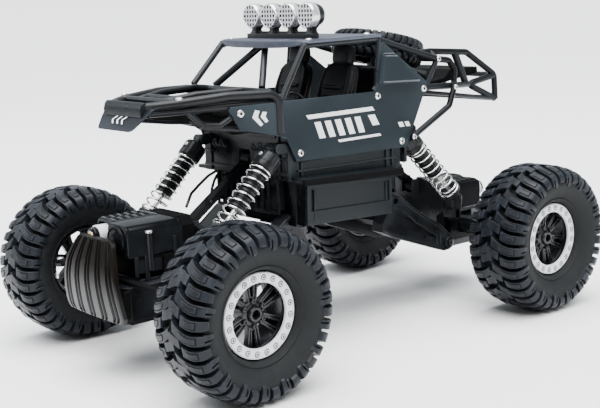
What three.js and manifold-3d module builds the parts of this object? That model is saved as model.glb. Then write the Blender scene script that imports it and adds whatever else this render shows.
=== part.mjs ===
// Remote control rock crawler: chassis, cage, suspension, two geared axles and four wheels.
// Units are millimetres. +X is forward, +Y is the left side, +Z is up. The ground is z = 0 and
// the origin is midway between the axles on the centreline.
import * as THREE from 'three';
import { mergeVertices } from 'three/addons/utils/BufferGeometryUtils.js';
import Module from 'manifold-3d';

const wasm = await Module();
wasm.setup();

// ---------------------------------------------------------------- driving dimensions
const AXLE_X = 126;            // half the wheelbase
const AXLE_Z = 50;
const WHEEL_Y = 93;            // half the track
const WHEEL_SIDES = 20;        // facets round a wheel
const TYRE_R = 50;             // from the axle to a tread flat
const TYRE_HALF_WIDTH = 21.4;
const BEAD_R = 24.6;           // inner radius of the tyre
const RIM_R = 24.2;            // rim barrel radius
const RING_R = 24.3;           // outer radius of the clamping ring
const RING_BORE_R = 18.2;      // inner radius of the clamping ring
const TUB_Y = 43.8;            // half width of the chassis tub
const PANEL_Y = 46;            // outer face of the side panels
const PANEL_T = 1.6;           // panel thickness
const TUBE_R = 2.3;            // cage tube
const HOOD_TUBE_R = 2.8;
// suspension pivots as [x, z]: TOP on the chassis, LOW on the carrier
const ARM_TOP = [46, 80];      // lower arm
const ARM_LOW = [98, 43];
const LINK_TOP = [48, 117];    // upper link
const LINK_LOW = [100, 80];
const SHOCK_TOP = [57.5, 128]; // shock eyes
const SHOCK_LOW = [100, 75];
const SHOCK_Y = 39.5;
const SHOCK_EYE_R = 3.4;
const KING_Y = 64;             // kingpin distance from the centreline
const ROD_X = 154;             // tie rod position
const STEER_Z = [55.8, 58];    // height range of the steering arms
const PINION_TEETH = 8;
const GEAR_TEETH = 20;
const GEAR_CENTRES = 16;       // distance between the two gear axes
const GEAR_MODULE = (2 * GEAR_CENTRES) / (PINION_TEETH + GEAR_TEETH);

// Finishes; metalness is 0 and roughness 0.6 unless given
const FINISH = {
  black: { color: 0x17191b },
  satinBlack: { color: 0x17191b, metalness: 0.1, roughness: 0.4 },
  glossBlack: { color: 0x111213, roughness: 0.3 },
  coverBlack: { color: 0x111213, roughness: 0.25 },
  grey: { color: 0x3c3a38 },
  rubber: { color: 0x1d1e20, roughness: 0.9 },
  panel: { color: 0x2c3337, metalness: 0.1, roughness: 0.5 },
  roof: { color: 0x4a505a, metalness: 0.2, roughness: 0.4 },
  battery: { color: 0x2b4d7a },
  circuit: { color: 0x1f6b3a },
  redSwitch: { color: 0xb03024 },
  horn: { color: 0xc8c8c4 },
  motor: { color: 0xd9d9d6, metalness: 0.3, roughness: 0.4 },
  silver: { color: 0xb9bcc0, metalness: 0.9, roughness: 0.3 },
  shockRod: { color: 0xb9bcc0, metalness: 0.8, roughness: 0.3 },
  spring: { color: 0xb9bcc0, metalness: 0.9, roughness: 0.2 },
  tieRod: { color: 0xb9bcc0, metalness: 0.6, roughness: 0.4 },
  gear: { color: 0xc9a94f, metalness: 0.7, roughness: 0.4 },
  pinion: { color: 0xb08d3a, metalness: 0.8, roughness: 0.3 },
};

// ---------------------------------------------------------------- mesh helpers
// keep positions only and weld the vertices
const clean = (shape) => {
  const copy = shape.clone();
  for (const key of Object.keys(copy.attributes)) {
    if (key !== 'position') copy.deleteAttribute(key);
  }
  return mergeVertices(copy, 1e-4);
};
const flipped = (shape) => {
  const index = shape.index.array;
  for (let i = 0; i < index.length; i += 3) {
    [index[i], index[i + 1]] = [index[i + 1], index[i]];
  }
  return shape;
};
const volume = (shape) => {
  const { position } = shape.attributes;
  const index = shape.index.array;
  const corners = [0, 1, 2].map(() => new THREE.Vector3());
  let total = 0;
  for (let i = 0; i < index.length; i += 3) {
    corners.forEach((corner, j) => corner.fromBufferAttribute(position, index[i + j]));
    total += corners[0].dot(corners[1].cross(corners[2])) / 6;
  }
  return total;
};
const outward = (shape) => (volume(shape) < 0 ? flipped(shape) : shape);
const indexed = (positions, index) => {
  const shape = new THREE.BufferGeometry();
  shape.setAttribute('position', new THREE.BufferAttribute(new Float32Array(positions), 3));
  shape.setIndex(new THREE.BufferAttribute(new Uint32Array(index), 1));
  return shape;
};

// ---------------------------------------------------------------- placing
const transformed = (shape, matrix) => {
  const copy = shape.clone();
  copy.applyMatrix4(matrix);
  return matrix.determinant() < 0 ? flipped(copy) : copy;
};
const move = (shape, x, y, z) => transformed(shape, new THREE.Matrix4().makeTranslation(x, y, z));
const turnX = (shape, angle) => transformed(shape, new THREE.Matrix4().makeRotationX(angle));
const turnZ = (shape, angle) => transformed(shape, new THREE.Matrix4().makeRotationZ(angle));
const mirrorY = (shape) => transformed(shape, new THREE.Matrix4().makeScale(1, -1, 1));
const toRear = (shape) => turnZ(shape, Math.PI);
const both = (...shapes) => [...shapes, ...shapes.map(mirrorY)];
const ends = (...shapes) => [...shapes, ...shapes.map(toRear)];

// ---------------------------------------------------------------- solid operations
const solid = (shape) => new wasm.Manifold(new wasm.Mesh({
  numProp: 3,
  vertProperties: new Float32Array(shape.attributes.position.array),
  triVerts: new Uint32Array(shape.index.array),
}));
const surface = (manifold) => {
  const mesh = manifold.getMesh();
  return indexed(mesh.vertProperties, mesh.triVerts);
};
const union = (first, ...others) => surface(
  others.reduce((sum, other) => sum.add(solid(other)), solid(first)),
);
const cut = (base, ...tools) => surface(
  tools.reduce((rest, tool) => rest.subtract(solid(tool)), solid(base)),
);
const intersect = (one, other) => surface(solid(one).intersect(solid(other)));

// ---------------------------------------------------------------- shapes; ranges are [from, to]
const span = (reach) => [-reach, reach];
const box = ([x0, x1], [y0, y1], [z0, z1]) => {
  const shape = new THREE.BoxGeometry(x1 - x0, y1 - y0, z1 - z0);
  shape.translate((x0 + x1) / 2, (y0 + y1) / 2, (z0 + z1) / 2);
  return clean(shape);
};
// rows of a matrix that lays a drawn outline in the named plane, starting at `from`
const PLANE_ROWS = {
  xy: (from) => [1, 0, 0, 0, 0, 1, 0, 0, 0, 0, 1, from],
  xz: (from) => [1, 0, 0, 0, 0, 0, 1, from, 0, 1, 0, 0],
  yz: (from) => [0, 0, 1, from, 1, 0, 0, 0, 0, 1, 0, 0],
};
const toVectors = (points) => points.map(([x, y]) => new THREE.Vector2(x, y));
// outline in a plane, extruded along the plane's normal
const prism = (plane, points, [from, to], holes = []) => {
  const outline = new THREE.Shape(toVectors(points));
  for (const hole of holes) outline.holes.push(new THREE.Path(toVectors(hole)));
  const shape = clean(new THREE.ExtrudeGeometry(outline, {
    depth: to - from,
    bevelEnabled: false,
    curveSegments: 1,
  }));
  return transformed(shape, new THREE.Matrix4().set(...PLANE_ROWS[plane](from), 0, 0, 0, 1));
};
// half an outline, completed by its mirror image with the given column negated
const mirrored = (points, column) => {
  const image = points.filter((point) => point[column] !== 0).reverse()
    .map((point) => point.map((value, i) => (i === column ? -value : value)));
  return [...points, ...image];
};
const polar = (radius, angle) => [radius * Math.cos(angle), radius * Math.sin(angle)];
// the default phase puts flats on the main axes when the side count is a multiple of four
const circle = ([cx, cy], radius, sides, phase = Math.PI / sides) => (
  Array.from({ length: sides }, (_, i) => {
    const [x, y] = polar(radius, phase + (2 * Math.PI * i) / sides);
    return [cx + x, cy + y];
  }));
// cylinders along the main axes; centre is given in the plane across the axis
const cylinder = (plane) => (centre, radius, range, sides = 10) => (
  prism(plane, circle(centre, radius, sides), range));
const cylX = cylinder('yz');
const cylY = cylinder('xz');
const cylZ = cylinder('xy');
// straight bar between two points
const strut = (from, to, radius, sides = 5) => {
  const start = new THREE.Vector3(...from);
  const end = new THREE.Vector3(...to);
  const along = end.clone().sub(start);
  const shape = new THREE.CylinderGeometry(radius, radius, along.length(), sides);
  const up = new THREE.Vector3(0, 1, 0);
  shape.applyQuaternion(new THREE.Quaternion().setFromUnitVectors(up, along.normalize()));
  const middle = start.add(end).multiplyScalar(0.5);
  shape.translate(middle.x, middle.y, middle.z);
  return clean(shape);
};
// bar across the centreline, ending at a point and its mirror image
const crossBar = ([x, y, z], radius, sides) => strut([x, -y, z], [x, y, z], radius, sides);
// tube along a polyline with mitred joints, one closed body
const pipe = (points, radius, sides = 5) => {
  const path = points.map((point) => new THREE.Vector3(...point));
  const runs = path.slice(1).map((point, i) => point.clone().sub(path[i]).normalize());
  const up = Math.abs(runs[0].z) < 0.9 ? new THREE.Vector3(0, 0, 1) : new THREE.Vector3(1, 0, 0);
  const across = new THREE.Vector3().crossVectors(up, runs[0]).normalize();
  const normal = new THREE.Vector3().crossVectors(runs[0], across);
  let ring = circle([0, 0], radius, sides).map(([x, y]) => (
    path[0].clone().addScaledVector(across, x).addScaledVector(normal, y)));
  const rings = [ring];
  runs.forEach((run, i) => {
    // slide the ring along this run onto the mitre plane at its end
    const mitre = i + 1 < runs.length ? run.clone().add(runs[i + 1]).normalize() : run;
    ring = ring.map((corner) => {
      const travel = path[i + 1].clone().sub(corner).dot(mitre) / run.dot(mitre);
      return corner.clone().addScaledVector(run, travel);
    });
    rings.push(ring);
  });
  const index = [];
  for (let run = 0; run < runs.length; run += 1) {
    for (let i = 0; i < sides; i += 1) {
      const near = run * sides + i;
      const nearNext = run * sides + ((i + 1) % sides);
      const far = near + sides;
      const farNext = nearNext + sides;
      index.push(near, nearNext, farNext, near, farNext, far);
    }
  }
  const last = runs.length * sides;
  for (let i = 1; i + 1 < sides; i += 1) {
    index.push(0, i + 1, i, last, last + i, last + i + 1);
  }
  return outward(indexed(rings.flat().flatMap((corner) => corner.toArray()), index));
};
// closed profile of [radius, height], turned about +Z
const lathe = (profile, sides) => {
  const shape = new THREE.LatheGeometry(toVectors([...profile, profile[0]]), sides);
  shape.rotateX(Math.PI / 2);
  shape.rotateZ(Math.PI / sides);
  return outward(clean(shape));
};

const car = new THREE.Group();
const put = (name, shape, finish) => {
  const faceted = clean(shape).toNonIndexed();
  faceted.computeVertexNormals();
  const material = new THREE.MeshStandardMaterial({ metalness: 0, roughness: 0.6, ...finish });
  const mesh = new THREE.Mesh(faceted, material);
  mesh.name = name;
  car.add(mesh);
};

// ---------------------------------------------------------------- chassis tub
const chassisTub = () => {
  const [eyeX, eyeZ] = SHOCK_TOP;
  // ears either side of the upper shock eye
  const ears = [[SHOCK_Y - 5, SHOCK_Y - 3], [SHOCK_Y + 3, SHOCK_Y + 4.3]].flatMap((range) => [
    cylY(SHOCK_TOP, SHOCK_EYE_R, range, 8),
    box([50.5, eyeX], range, [eyeZ - 2.8, eyeZ + 2.8]),
  ]);
  const eyePin = cylY(SHOCK_TOP, 1.5, [SHOCK_Y - 4, SHOCK_Y + 4], 6);
  const tower = [box([44, 51.5], span(TUB_Y), [107, 136]), ...both(...ears, eyePin)];
  // [x, z]
  const sideBox = [[45.8, 79.2], [45.1, 105.4], [-28, 101.6], [-28, 76.2]];
  const ledge = [[49, 105.4], [49, 109], [-35, 105.6], [-35, 101.2]];
  const shell = union(
    box(span(50), span(TUB_Y), [78, 112]),
    box(span(46), span(TUB_Y), [111, 118]),
    ...both(prism('xz', sideBox, [43, 52]), prism('xz', ledge, [42, 56])),
    ...ends(...tower),
  );
  const interior = box(span(34), span(26), [60, 112]);
  const armSlot = box([38.5, 60], [27, 39], [70, 87.5]);
  const linkSlot = box([41.5, 60], span(6), [100, 124]);
  const switchPocket = box([-60, -43], [10, 24], [92, 98]);
  const hollow = cut(shell, interior, ...ends(...both(armSlot), linkSlot), switchPocket);
  const armPins = both(cylY(ARM_TOP, 1.8, [26, 40], 6));
  const linkPin = cylY(LINK_TOP, 1.8, span(7), 6);
  return union(hollow, ...ends(...armPins, linkPin));
};
put('chassis_tub', chassisTub(), FINISH.black);

const batteryDoor = () => union(
  box(span(37), span(28.5), [74.6, 77.7]),
  box([30, 37], span(6), [73.6, 75]),
);
put('battery_door', batteryDoor(), FINISH.black);

const BATTERY_HALF = [[20, 78.2], [23, 81], [23, 94], [20, 97]]; // [y, z]
put('battery_pack', prism('yz', mirrored(BATTERY_HALF, 0), [-32, 10]), FINISH.battery);

const circuitBoard = () => union(
  box(span(31), span(23), [104, 105.6]),
  // blocks on the underside
  box([-20, -6], [-10, 8], [101.5, 104.5]),
  box([6, 14], [-16, -4], [98.5, 104.5]),
  box([18, 28], [2, 18], [100.5, 104.5]),
);
put('circuit_board', circuitBoard(), FINISH.circuit);

const powerSwitch = () => union(
  box([-48, -43.6], [12, 16.5], [92.5, 97.5]),
  box([-49.6, -47.5], [13.2, 15.3], [93.6, 96.4]),
);
put('power_switch', powerSwitch(), FINISH.redSwitch);

// ---------------------------------------------------------------- front cage
// Left-hand tubes as [x, y, z] along each tube
const HOOD_RAIL = [
  [57, 40.6, 137.6], [57, 40.6, 156], [58.5, 40.4, 160], [63, 39.8, 162.2],
  [90, 35.6, 162.6], [119, 29.6, 160.6], [130, 23, 159.8], [135, 17.5, 159.6],
];
const LOWER_RAIL = [[58, 39.6, 153.6], [92, 34.4, 152.8], [122, 27.4, 151.6], [138, 19.5, 151]];
const HANGING_LOOP = [
  [118, 29.6, 151.5], [107, 33.4, 143.4], [95, 35.6, 142.4], [86, 36.6, 148], [80, 37, 152.6],
];
const FOOT_TUBE = [[106, 33.4, 143.2], [84, 36.6, 139.6], [57, 40.6, 138.4]];
const SCREEN_POST = [[36.4, 41.6, 188.4], [57, 40.6, 160]];
const SCREEN_VEE = [[38.2, 2.5, 188.2], [55.5, 24.8, 164.2]];
const INNER_RAIL = [[57, 26, 162.6], [88, 22, 163.8], [113, 16, 162.4]];
const NOSE_HALF = [[15, 144.6], [20, 147], [25.5, 160.5]]; // [y, z]
// dark pan below the hood frame, [x, z]
const HOOD_PAN = [
  [56, 149.6], [56, 136.6], [84, 136.6], [98, 146.8], [140, 148.2], [139, 150.6], [96, 150.2],
];
const nosePlate = () => {
  const lean = 0.72;             // run back per unit of height
  const [noseX, noseZ] = [141.6, 152]; // a point on the leaning mid-plane
  const tilt = new THREE.Matrix4().set(
    1, 0, -lean, noseX + lean * noseZ,
    0, 1, 0, 0,
    0, 0, 1, 0,
    0, 0, 0, 1,
  );
  return transformed(prism('yz', mirrored(NOSE_HALF, 0), span(1)), tilt);
};
const frontCage = () => union(
  ...both(
    pipe(HOOD_RAIL, HOOD_TUBE_R),
    pipe(LOWER_RAIL, TUBE_R),
    pipe(HANGING_LOOP, 1.8, 4),
    pipe(FOOT_TUBE, 1.8, 4),
    pipe(SCREEN_POST, TUBE_R),
    pipe(SCREEN_VEE, TUBE_R),
    pipe(INNER_RAIL, TUBE_R),
    box([56, 66], [22, 41], [137, 154]), // block at the rear of the frame
  ),
  nosePlate(),
  crossBar([135, 18, 159.6], HOOD_TUBE_R),
  crossBar([141, 15, 155.4], 1.4, 4),
  crossBar([58, 40, 162], HOOD_TUBE_R),
  crossBar([113, 17, 162.4], TUBE_R),
  crossBar([118, 28, 160.4], TUBE_R),
  prism('xz', HOOD_PAN, span(24)),
);
put('front_cage', frontCage(), FINISH.black);

// ---------------------------------------------------------------- rear cage
const rearCage = () => {
  const cageY = 41.4; // forward part
  const tailY = 35;   // narrower tail
  // left-hand joints, [x, y, z]
  const roofJoint = [-31, cageY, 186.4];
  const shoulder = [-84, cageY, 173];
  const corner = [-101, cageY, 153.6];
  const crown = [-84, tailY, 178];
  const tailTop = [-122, tailY, 174.6];
  const tailInner = [-122, tailY, 152.6];
  const tailBack = [-150, tailY, 157];
  const tailLow = [-151, tailY, 140.6];
  const tubes = [
    [roofJoint, shoulder, [-96, cageY, 171], [-101, cageY, 166], [-101, cageY, 154]],
    [shoulder, [-72, cageY, 154]],
    [[-60, cageY, 155.4], corner, tailInner],
    [[-70, tailY, 176.8], crown, tailTop, tailBack, tailLow],
    [[-109, tailY, 175.6], [-120, tailY, 153]],
    [tailBack, tailInner, tailLow],
    [shoulder, crown],
    [roofJoint, [-31, 24, 186.4]],
  ].map((points) => pipe(points, TUBE_R));
  const tailBrace = pipe([[-75, 39, 151], tailLow], 1.6, 4);
  const sideBrace = pipe([
    [-101, cageY + 1, 153.6], [-98, 45.6, 149], [-90, 47.9, 143.3], [-52, 47.9, 123.5],
  ], 1.5, 4);
  const bars = [tailTop, tailBack, tailLow, shoulder, corner, roofJoint]
    .map((joint) => crossBar(joint, TUBE_R, 4));
  return union(...both(...tubes, tailBrace, sideBrace), ...bars);
};
put('rear_cage', rearCage(), FINISH.black);

// ---------------------------------------------------------------- roof
// Left half of each curved front edge, [x, y] towards the centreline
const ROOF_EDGE = [[35.5, 40.4], [38.5, 30], [40.6, 15], [41.2, 0]];
const LIP_INNER_EDGE = [[20, 50], [33, 41], [36.6, 30], [38.8, 15], [39.4, 0]];
const roofPanel = () => {
  const under = 190.3;
  const top = 192.1;
  const edgeY = 44.4;
  const sheetHalf = [[-29, edgeY], [32, edgeY - 0.6], ...ROOF_EDGE];
  const sheet = prism('xy', mirrored(sheetHalf, 1), [under, top]);
  const lip = cut(
    prism('xy', mirrored([[32, 43.6], ...ROOF_EDGE], 1), [188.6, 191]),
    prism('xy', mirrored(LIP_INNER_EDGE, 1), [186, under]),
    // leave the lip clear of the windscreen posts
    ...both(box([20, 45], [38.6, 50], [180, under])),
    box([30, 45], span(6), [186, under]),
  );
  const flanges = both(
    box([-29, 33], [edgeY, 46], [187.8, top]),
    box([-29, 31], [43, 45], [under, top]),
  );
  return union(sheet, lip, ...flanges);
};
put('roof_panel', roofPanel(), FINISH.roof);

// ---------------------------------------------------------------- side panels
// Outlines as [x, z]
const PANEL_OUTLINE = [
  [56.7, 157.1], [-22.2, 156.5], [-26.4, 187.4], [-30.4, 187.4], [-69.8, 158.5],
  [-69, 152.5], [-49.6, 117.4], [46, 118.7], [53.4, 134], [58.2, 135.6],
];
const POD_OUTLINE = [[-28.6, 179.6], [-40.7, 178.8], [-59.3, 161.5], [-25.9, 162.5]];
// front plate, [distance from the fold, z]
const FOLDED_OUTLINE = [[0, 135.7], [28.6, 142.8], [34.4, 154.9], [34, 156.4], [0, 156.7]];
const leftPanel = () => {
  const foldX = 56.6;
  const foldAngle = -Math.atan(0.19); // turns the front plate inwards
  const folded = turnZ(prism('xz', FOLDED_OUTLINE, [-PANEL_T, 0]), foldAngle);
  return union(
    prism('xz', PANEL_OUTLINE, [PANEL_Y - PANEL_T, PANEL_Y]),
    move(folded, foldX, PANEL_Y, 0),
    prism('xz', POD_OUTLINE, [PANEL_Y - 0.5, PANEL_Y + 1.6]),
  );
};
put('left_side_panel', leftPanel(), FINISH.panel);
put('right_side_panel', mirrorY(leftPanel()), FINISH.panel);

// ---------------------------------------------------------------- cockpit
// Outlines as [x, z]
const SEAT_BACK = [[-8, 121], [0, 121], [-6, 150], [-12, 174], [-20, 174], [-17, 150]];
const HEADREST = [[-12.5, 172], [-19.5, 172], [-21, 183], [-14.5, 183]];
const DASHBOARD = [[26, 136], [30, 136], [44, 148], [44, 152], [34, 152]];
const SEAT_Y = 20;
const cockpit = () => {
  const endX = 42.4;
  const seatSpan = (reach) => [SEAT_Y - reach, SEAT_Y + reach];
  const seat = [
    box([-6, 24], seatSpan(12), [120, 134]),
    prism('xz', SEAT_BACK, seatSpan(13)),
    prism('xz', HEADREST, seatSpan(7)),
  ];
  return union(
    box(span(endX), span(42), [118.4, 120.6]),   // floor
    box([30, endX], span(40), [120, 148]),       // front block
    box([-endX, -39], span(42), [120, 140]),     // rear wall
    prism('xz', DASHBOARD, span(38)),
    // slanted column with a disc at its end, ahead of the left seat
    strut([30, SEAT_Y, 145], [23, SEAT_Y, 150], 1.2),
    strut([23.4, SEAT_Y, 149.8], [21.8, SEAT_Y, 151], 7.5, 8),
    ...both(...seat),
  );
};
put('cockpit', cockpit(), FINISH.black);

// ---------------------------------------------------------------- light bar
const LAMP_Y = [29, 9.65, -9.65, -29];
const LAMP_Z = 206.9;
const LAMP_R = 8.3;
const BAR_BASE = [[14.5, 192.6], [21, 192.6], [22, 195], [20.6, 198], [15, 198], [13.6, 195]];
// openings of one grille: [half width, bottom, top], heights from the lamp centre
const GRILLE_SLOTS = [[5.4, 1.6, 4.8], [6.8, -1.6, 1.2], [5.6, -4.8, -2]];
const lightBar = () => union(
  prism('xz', BAR_BASE, span(38)),
  ...LAMP_Y.flatMap((y) => [
    cylX([y, LAMP_Z], LAMP_R, [13.4, 20.2]),
    cylX([y, LAMP_Z], 6, [9.4, 14], 6),
    box([15, 20], [y - 3, y + 3], [197, 200.5]),
  ]),
  box([13, 15.5], span(30), [205, 209]),
);
put('light_bar', lightBar(), FINISH.black);

const lightGrille = () => {
  const discs = LAMP_Y.map((y) => {
    const slots = GRILLE_SLOTS.map(([reach, bottom, top]) => [
      [y - reach, LAMP_Z + bottom], [y - reach, LAMP_Z + top],
      [y + reach, LAMP_Z + top], [y + reach, LAMP_Z + bottom],
    ]);
    return prism('yz', circle([y, LAMP_Z], LAMP_R, 12), [20.5, 24.4], slots);
  });
  const ties = [19.3, 0, -19.3].map((y) => (
    box([21, 24], [y - 3, y + 3], [LAMP_Z - 2.5, LAMP_Z + 2.5])));
  return union(...discs, ...ties);
};
put('light_grille', lightGrille(), FINISH.silver);

// ---------------------------------------------------------------- spare tyre, lying flat
const SPARE_HALF = [[12, 7.6], [24, 9], [30, 7], [32, 3.5]]; // [radius, height]
const spareTyre = () => {
  const spareX = -68;
  return union(
    move(lathe(mirrored(SPARE_HALF, 1), 16), spareX, 0, 187.2),
    cylZ([spareX, 0], 12.4, [182, 191]),
  );
};
put('spare_tyre', spareTyre(), FINISH.rubber);

// ---------------------------------------------------------------- suspension arms
// Outlines as [x, z]
const ARM_OUTLINE = [
  [42, 84], [46, 84.6], [50, 82.6], [65.5, 70.8], [88.1, 57], [99.5, 48], [103, 43.4],
  [101.5, 39.2], [97.6, 37.6], [92.4, 37.4], [66, 47], [42.8, 55.3], [32, 60.6], [33, 66],
  [40.6, 77],
];
const ARM_GROOVE = [[50, 70], [62, 64.5], [84, 51.5], [84, 48.5], [60, 57.5], [48, 62]];
const ARM_TIE = [[58, 60], [70, 53], [72, 58], [60, 65]];
const LINK_BAR = [[50.2, 118], [47.8, 114.4], [98, 79.6], [100.4, 83.2]];
// the left and right lower arms, joined by a bar
const lowerArms = () => {
  const arm = cut(
    prism('xz', ARM_OUTLINE, [28, 38]),
    prism('xz', ARM_GROOVE, [36.6, 40]),
    cylY(ARM_TOP, 2.3, [20, 45], 8),
    cylY(ARM_LOW, 2.3, [20, 45], 8),
  );
  return union(...both(arm), prism('xz', ARM_TIE, span(29)));
};
// straight bar with an eye at each end
const upperLink = () => cut(
  union(
    cylY(LINK_TOP, 4.3, span(4)),
    cylY(LINK_LOW, 4.3, span(4)),
    prism('xz', LINK_BAR, span(3.2)),
  ),
  cylY(LINK_TOP, 2.3, span(9), 8),
  cylY(LINK_LOW, 2.4, span(9), 8),
);
// holds the arms, the upper link, the shock feet and the roll pin
const CARRIER_HALF = [
  [24.4, 38.5], [24.4, 60], [31.4, 66], [31.4, 79.6], [24.4, 82], [9, 86], // [y, z]
];
const carrier = () => {
  const plate = prism('yz', mirrored(CARRIER_HALF, 0), [99.4, 103.4]);
  const linkCheeks = both(box([94.4, 101], [5, 7.4], [75, 85]));
  const linkGap = box([90, 110], span(5), [74, 90]);
  return union(
    cut(union(plate, ...linkCheeks), linkGap),
    ...both(
      box([94, 101], [20, 27.4], [39, 48]),
      cylY(ARM_LOW, 1.8, [26, 38.4], 6),
      cylY(SHOCK_LOW, 1.5, [30, 42.8], 6),
    ),
    cylY(LINK_LOW, 1.6, span(6), 6),
    cylX([0, AXLE_Z], 4, [102, 110.6]), // roll pin
  );
};
const suspension = { lower_arm: lowerArms(), upper_link: upperLink(), carrier: carrier() };
for (const [name, shape] of Object.entries(suspension)) {
  put(`front_${name}`, shape, FINISH.black);
  put(`rear_${name}`, toRear(shape), FINISH.black);
}

// ---------------------------------------------------------------- shock absorbers
// Built along +Z from the lower eye up, then laid on the shock's line
const SHOCK_DX = SHOCK_LOW[0] - SHOCK_TOP[0];
const SHOCK_DZ = SHOCK_LOW[1] - SHOCK_TOP[1];
const SHOCK_LENGTH = Math.hypot(SHOCK_DX, SHOCK_DZ); // between eye centres
const layShock = (shape) => {
  const line = new THREE.Vector3(-SHOCK_DX, 0, -SHOCK_DZ).normalize();
  const turn = new THREE.Quaternion().setFromUnitVectors(new THREE.Vector3(0, 0, 1), line);
  const laid = transformed(shape, new THREE.Matrix4().makeRotationFromQuaternion(turn));
  return move(laid, SHOCK_LOW[0], SHOCK_Y, SHOCK_LOW[1]);
};
const shockBody = () => {
  // height range measured down from the upper eye
  const below = (far, near) => [SHOCK_LENGTH - far, SHOCK_LENGTH - near];
  return cut(
    union(
      cylY([0, SHOCK_LENGTH], SHOCK_EYE_R, span(2.7)),
      cylZ([0, 0], 2.6, below(5, 2), 6),
      cylZ([0, 0], 7.7, below(16, 4.6), 12),
      cylZ([0, 0], 5.6, below(46, 15.5)),
    ),
    cylY([0, SHOCK_LENGTH], 1.9, span(5), 8),
    cylZ([0, 0], 2.1, below(60, 24), 8),
  );
};
const shockRod = () => cut(
  union(
    cylY([0, 0], SHOCK_EYE_R, span(2.7)),
    cylZ([0, 0], 1.6, [2.4, SHOCK_LENGTH - 30], 6),
    cylZ([0, 0], 7.6, [4.8, 6.8], 12), // spring seat
    cylZ([0, 0], 3, [2, 5.4], 6),
  ),
  cylY([0, 0], 2.3, span(5), 8),
);
const COIL = { turns: 6, stepsPerTurn: 7, radius: 6.8, bottom: 8, top: SHOCK_LENGTH - 17.1 };
class Coil extends THREE.Curve {
  getPoint(t, target = new THREE.Vector3()) {
    const [x, y] = polar(COIL.radius, 2 * Math.PI * COIL.turns * t);
    return target.set(x, y, COIL.bottom + (COIL.top - COIL.bottom) * t);
  }
}
const spring = () => {
  const wireR = 0.6;
  const wire = [[wireR, 0], [-0.5 * wireR, 0.87 * wireR], [-0.5 * wireR, -0.87 * wireR]];
  return outward(clean(new THREE.ExtrudeGeometry(new THREE.Shape(toVectors(wire)), {
    steps: COIL.turns * COIL.stepsPerTurn,
    extrudePath: new Coil(),
    bevelEnabled: false,
  })));
};
const shockParts = [
  ['shock_body', layShock(shockBody()), FINISH.satinBlack],
  ['shock_rod', layShock(shockRod()), FINISH.shockRod],
  ['spring', layShock(spring()), FINISH.spring],
];
for (const end of ['front', 'rear']) {
  for (const side of ['left', 'right']) {
    // the half turn to the rear swaps the sides
    const isRear = end === 'rear';
    const mirror = (side === 'right') !== isRear;
    for (const [name, shape, finish] of shockParts) {
      const sided = mirror ? mirrorY(shape) : shape;
      put(`${end}_${side}_${name}`, isRear ? toRear(sided) : sided, finish);
    }
  }
}

// ---------------------------------------------------------------- axles
// Built at the front; the rear one is turned about z
const MOTOR_Y = -9.3;
const MOTOR_R = 7.7;
const GEAR_X = [112.2, 117.2]; // gear faces
const AXLES = {
  front: { isFront: true, trayZ: 71.2, motorZ: 83, gearY: 0, tubeEnd: 52 },
  rear: { isFront: false, trayZ: 58.4, motorZ: 70.6, gearY: 5.6, tubeEnd: 68 },
};
const AXLE_BELLY = [
  [112, 38], [118, 34], [156, 34], [163, 39], [163, 51], [159, 55], [112, 55], // [x, z]
];
const KING_PLATE = [
  [119.4, 54], [132.6, 54], [132.6, 64], [129, 68.6], [123, 68.6], [119.4, 64], // [x, y]
];
// gear turning about +X, centred at [y, z]
const gear = (teeth, [y, z], phase, holes) => {
  const tipR = ((teeth + 1.5) * GEAR_MODULE) / 2;
  const rootR = ((teeth - 2.5) * GEAR_MODULE) / 2;
  const rootAngle = (Math.PI / teeth) * 0.62;
  const tipAngle = (Math.PI / teeth) * 0.2;
  const tooth = [[rootR, -rootAngle], [tipR, -tipAngle], [tipR, tipAngle], [rootR, rootAngle]];
  const points = Array.from({ length: teeth }, (_, i) => tooth.map(([radius, angle]) => {
    const [dy, dz] = polar(radius, phase + (2 * Math.PI * i) / teeth + angle);
    return [y + dy, z + dz];
  }));
  return prism('yz', points.flat(), GEAR_X, holes);
};
const axleHousing = ({ isFront, trayZ, tubeEnd }, motor, drive, topZ) => {
  const gearPlate = mirrored([[21, 40], [21, topZ - 5], [16, topZ]], 0);
  const common = [
    prism('xz', AXLE_BELLY, span(26)),
    prism('yz', gearPlate, [107.6, 118]),
    box([112, 150], span(21.4), [trayZ, trayZ + 2]),
    ...both(cylY([AXLE_X, AXLE_Z], 6.6, [20, tubeEnd])),
  ];
  // tray supports, and on the front the brackets and pins that hold the knuckles
  const extras = isFront ? both(
    box([124, 132], [19.6, 23.6], [54, trayZ + 1]),
    box([119.4, 132.6], [50, 54.4], [36, 64]),
    prism('xy', KING_PLATE, [60.6, 64]),
    prism('xy', KING_PLATE, [36, 39.4]),
    cylZ([AXLE_X, KING_Y], 2, [57.4, 61], 6),
    cylZ([AXLE_X, KING_Y], 2, [39, 42.6], 6),
  ) : [box([120, 146], span(16), [54, trayZ + 0.5])];
  // bores for the stub axles at the tube ends
  const stubBores = isFront ? [] : both(cylY([AXLE_X, AXLE_Z], 3.5, [57, 70], 8));
  return cut(
    union(...common, ...extras),
    ...both(prism('yz', [[27, 30], [27, 41], [19, 30]], [100, 170])), // lower edge chamfers
    cylX([0, AXLE_Z], 4.5, [100, 111]), // roll pin bore
    cylX(motor, 5.7, [111.2, 119], 12), // gear pockets
    cylX(drive, 13.5, [111.2, 119], 16),
    cylX(drive, 2, [109, 112], 8),
    ...stubBores,
  );
};
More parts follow.
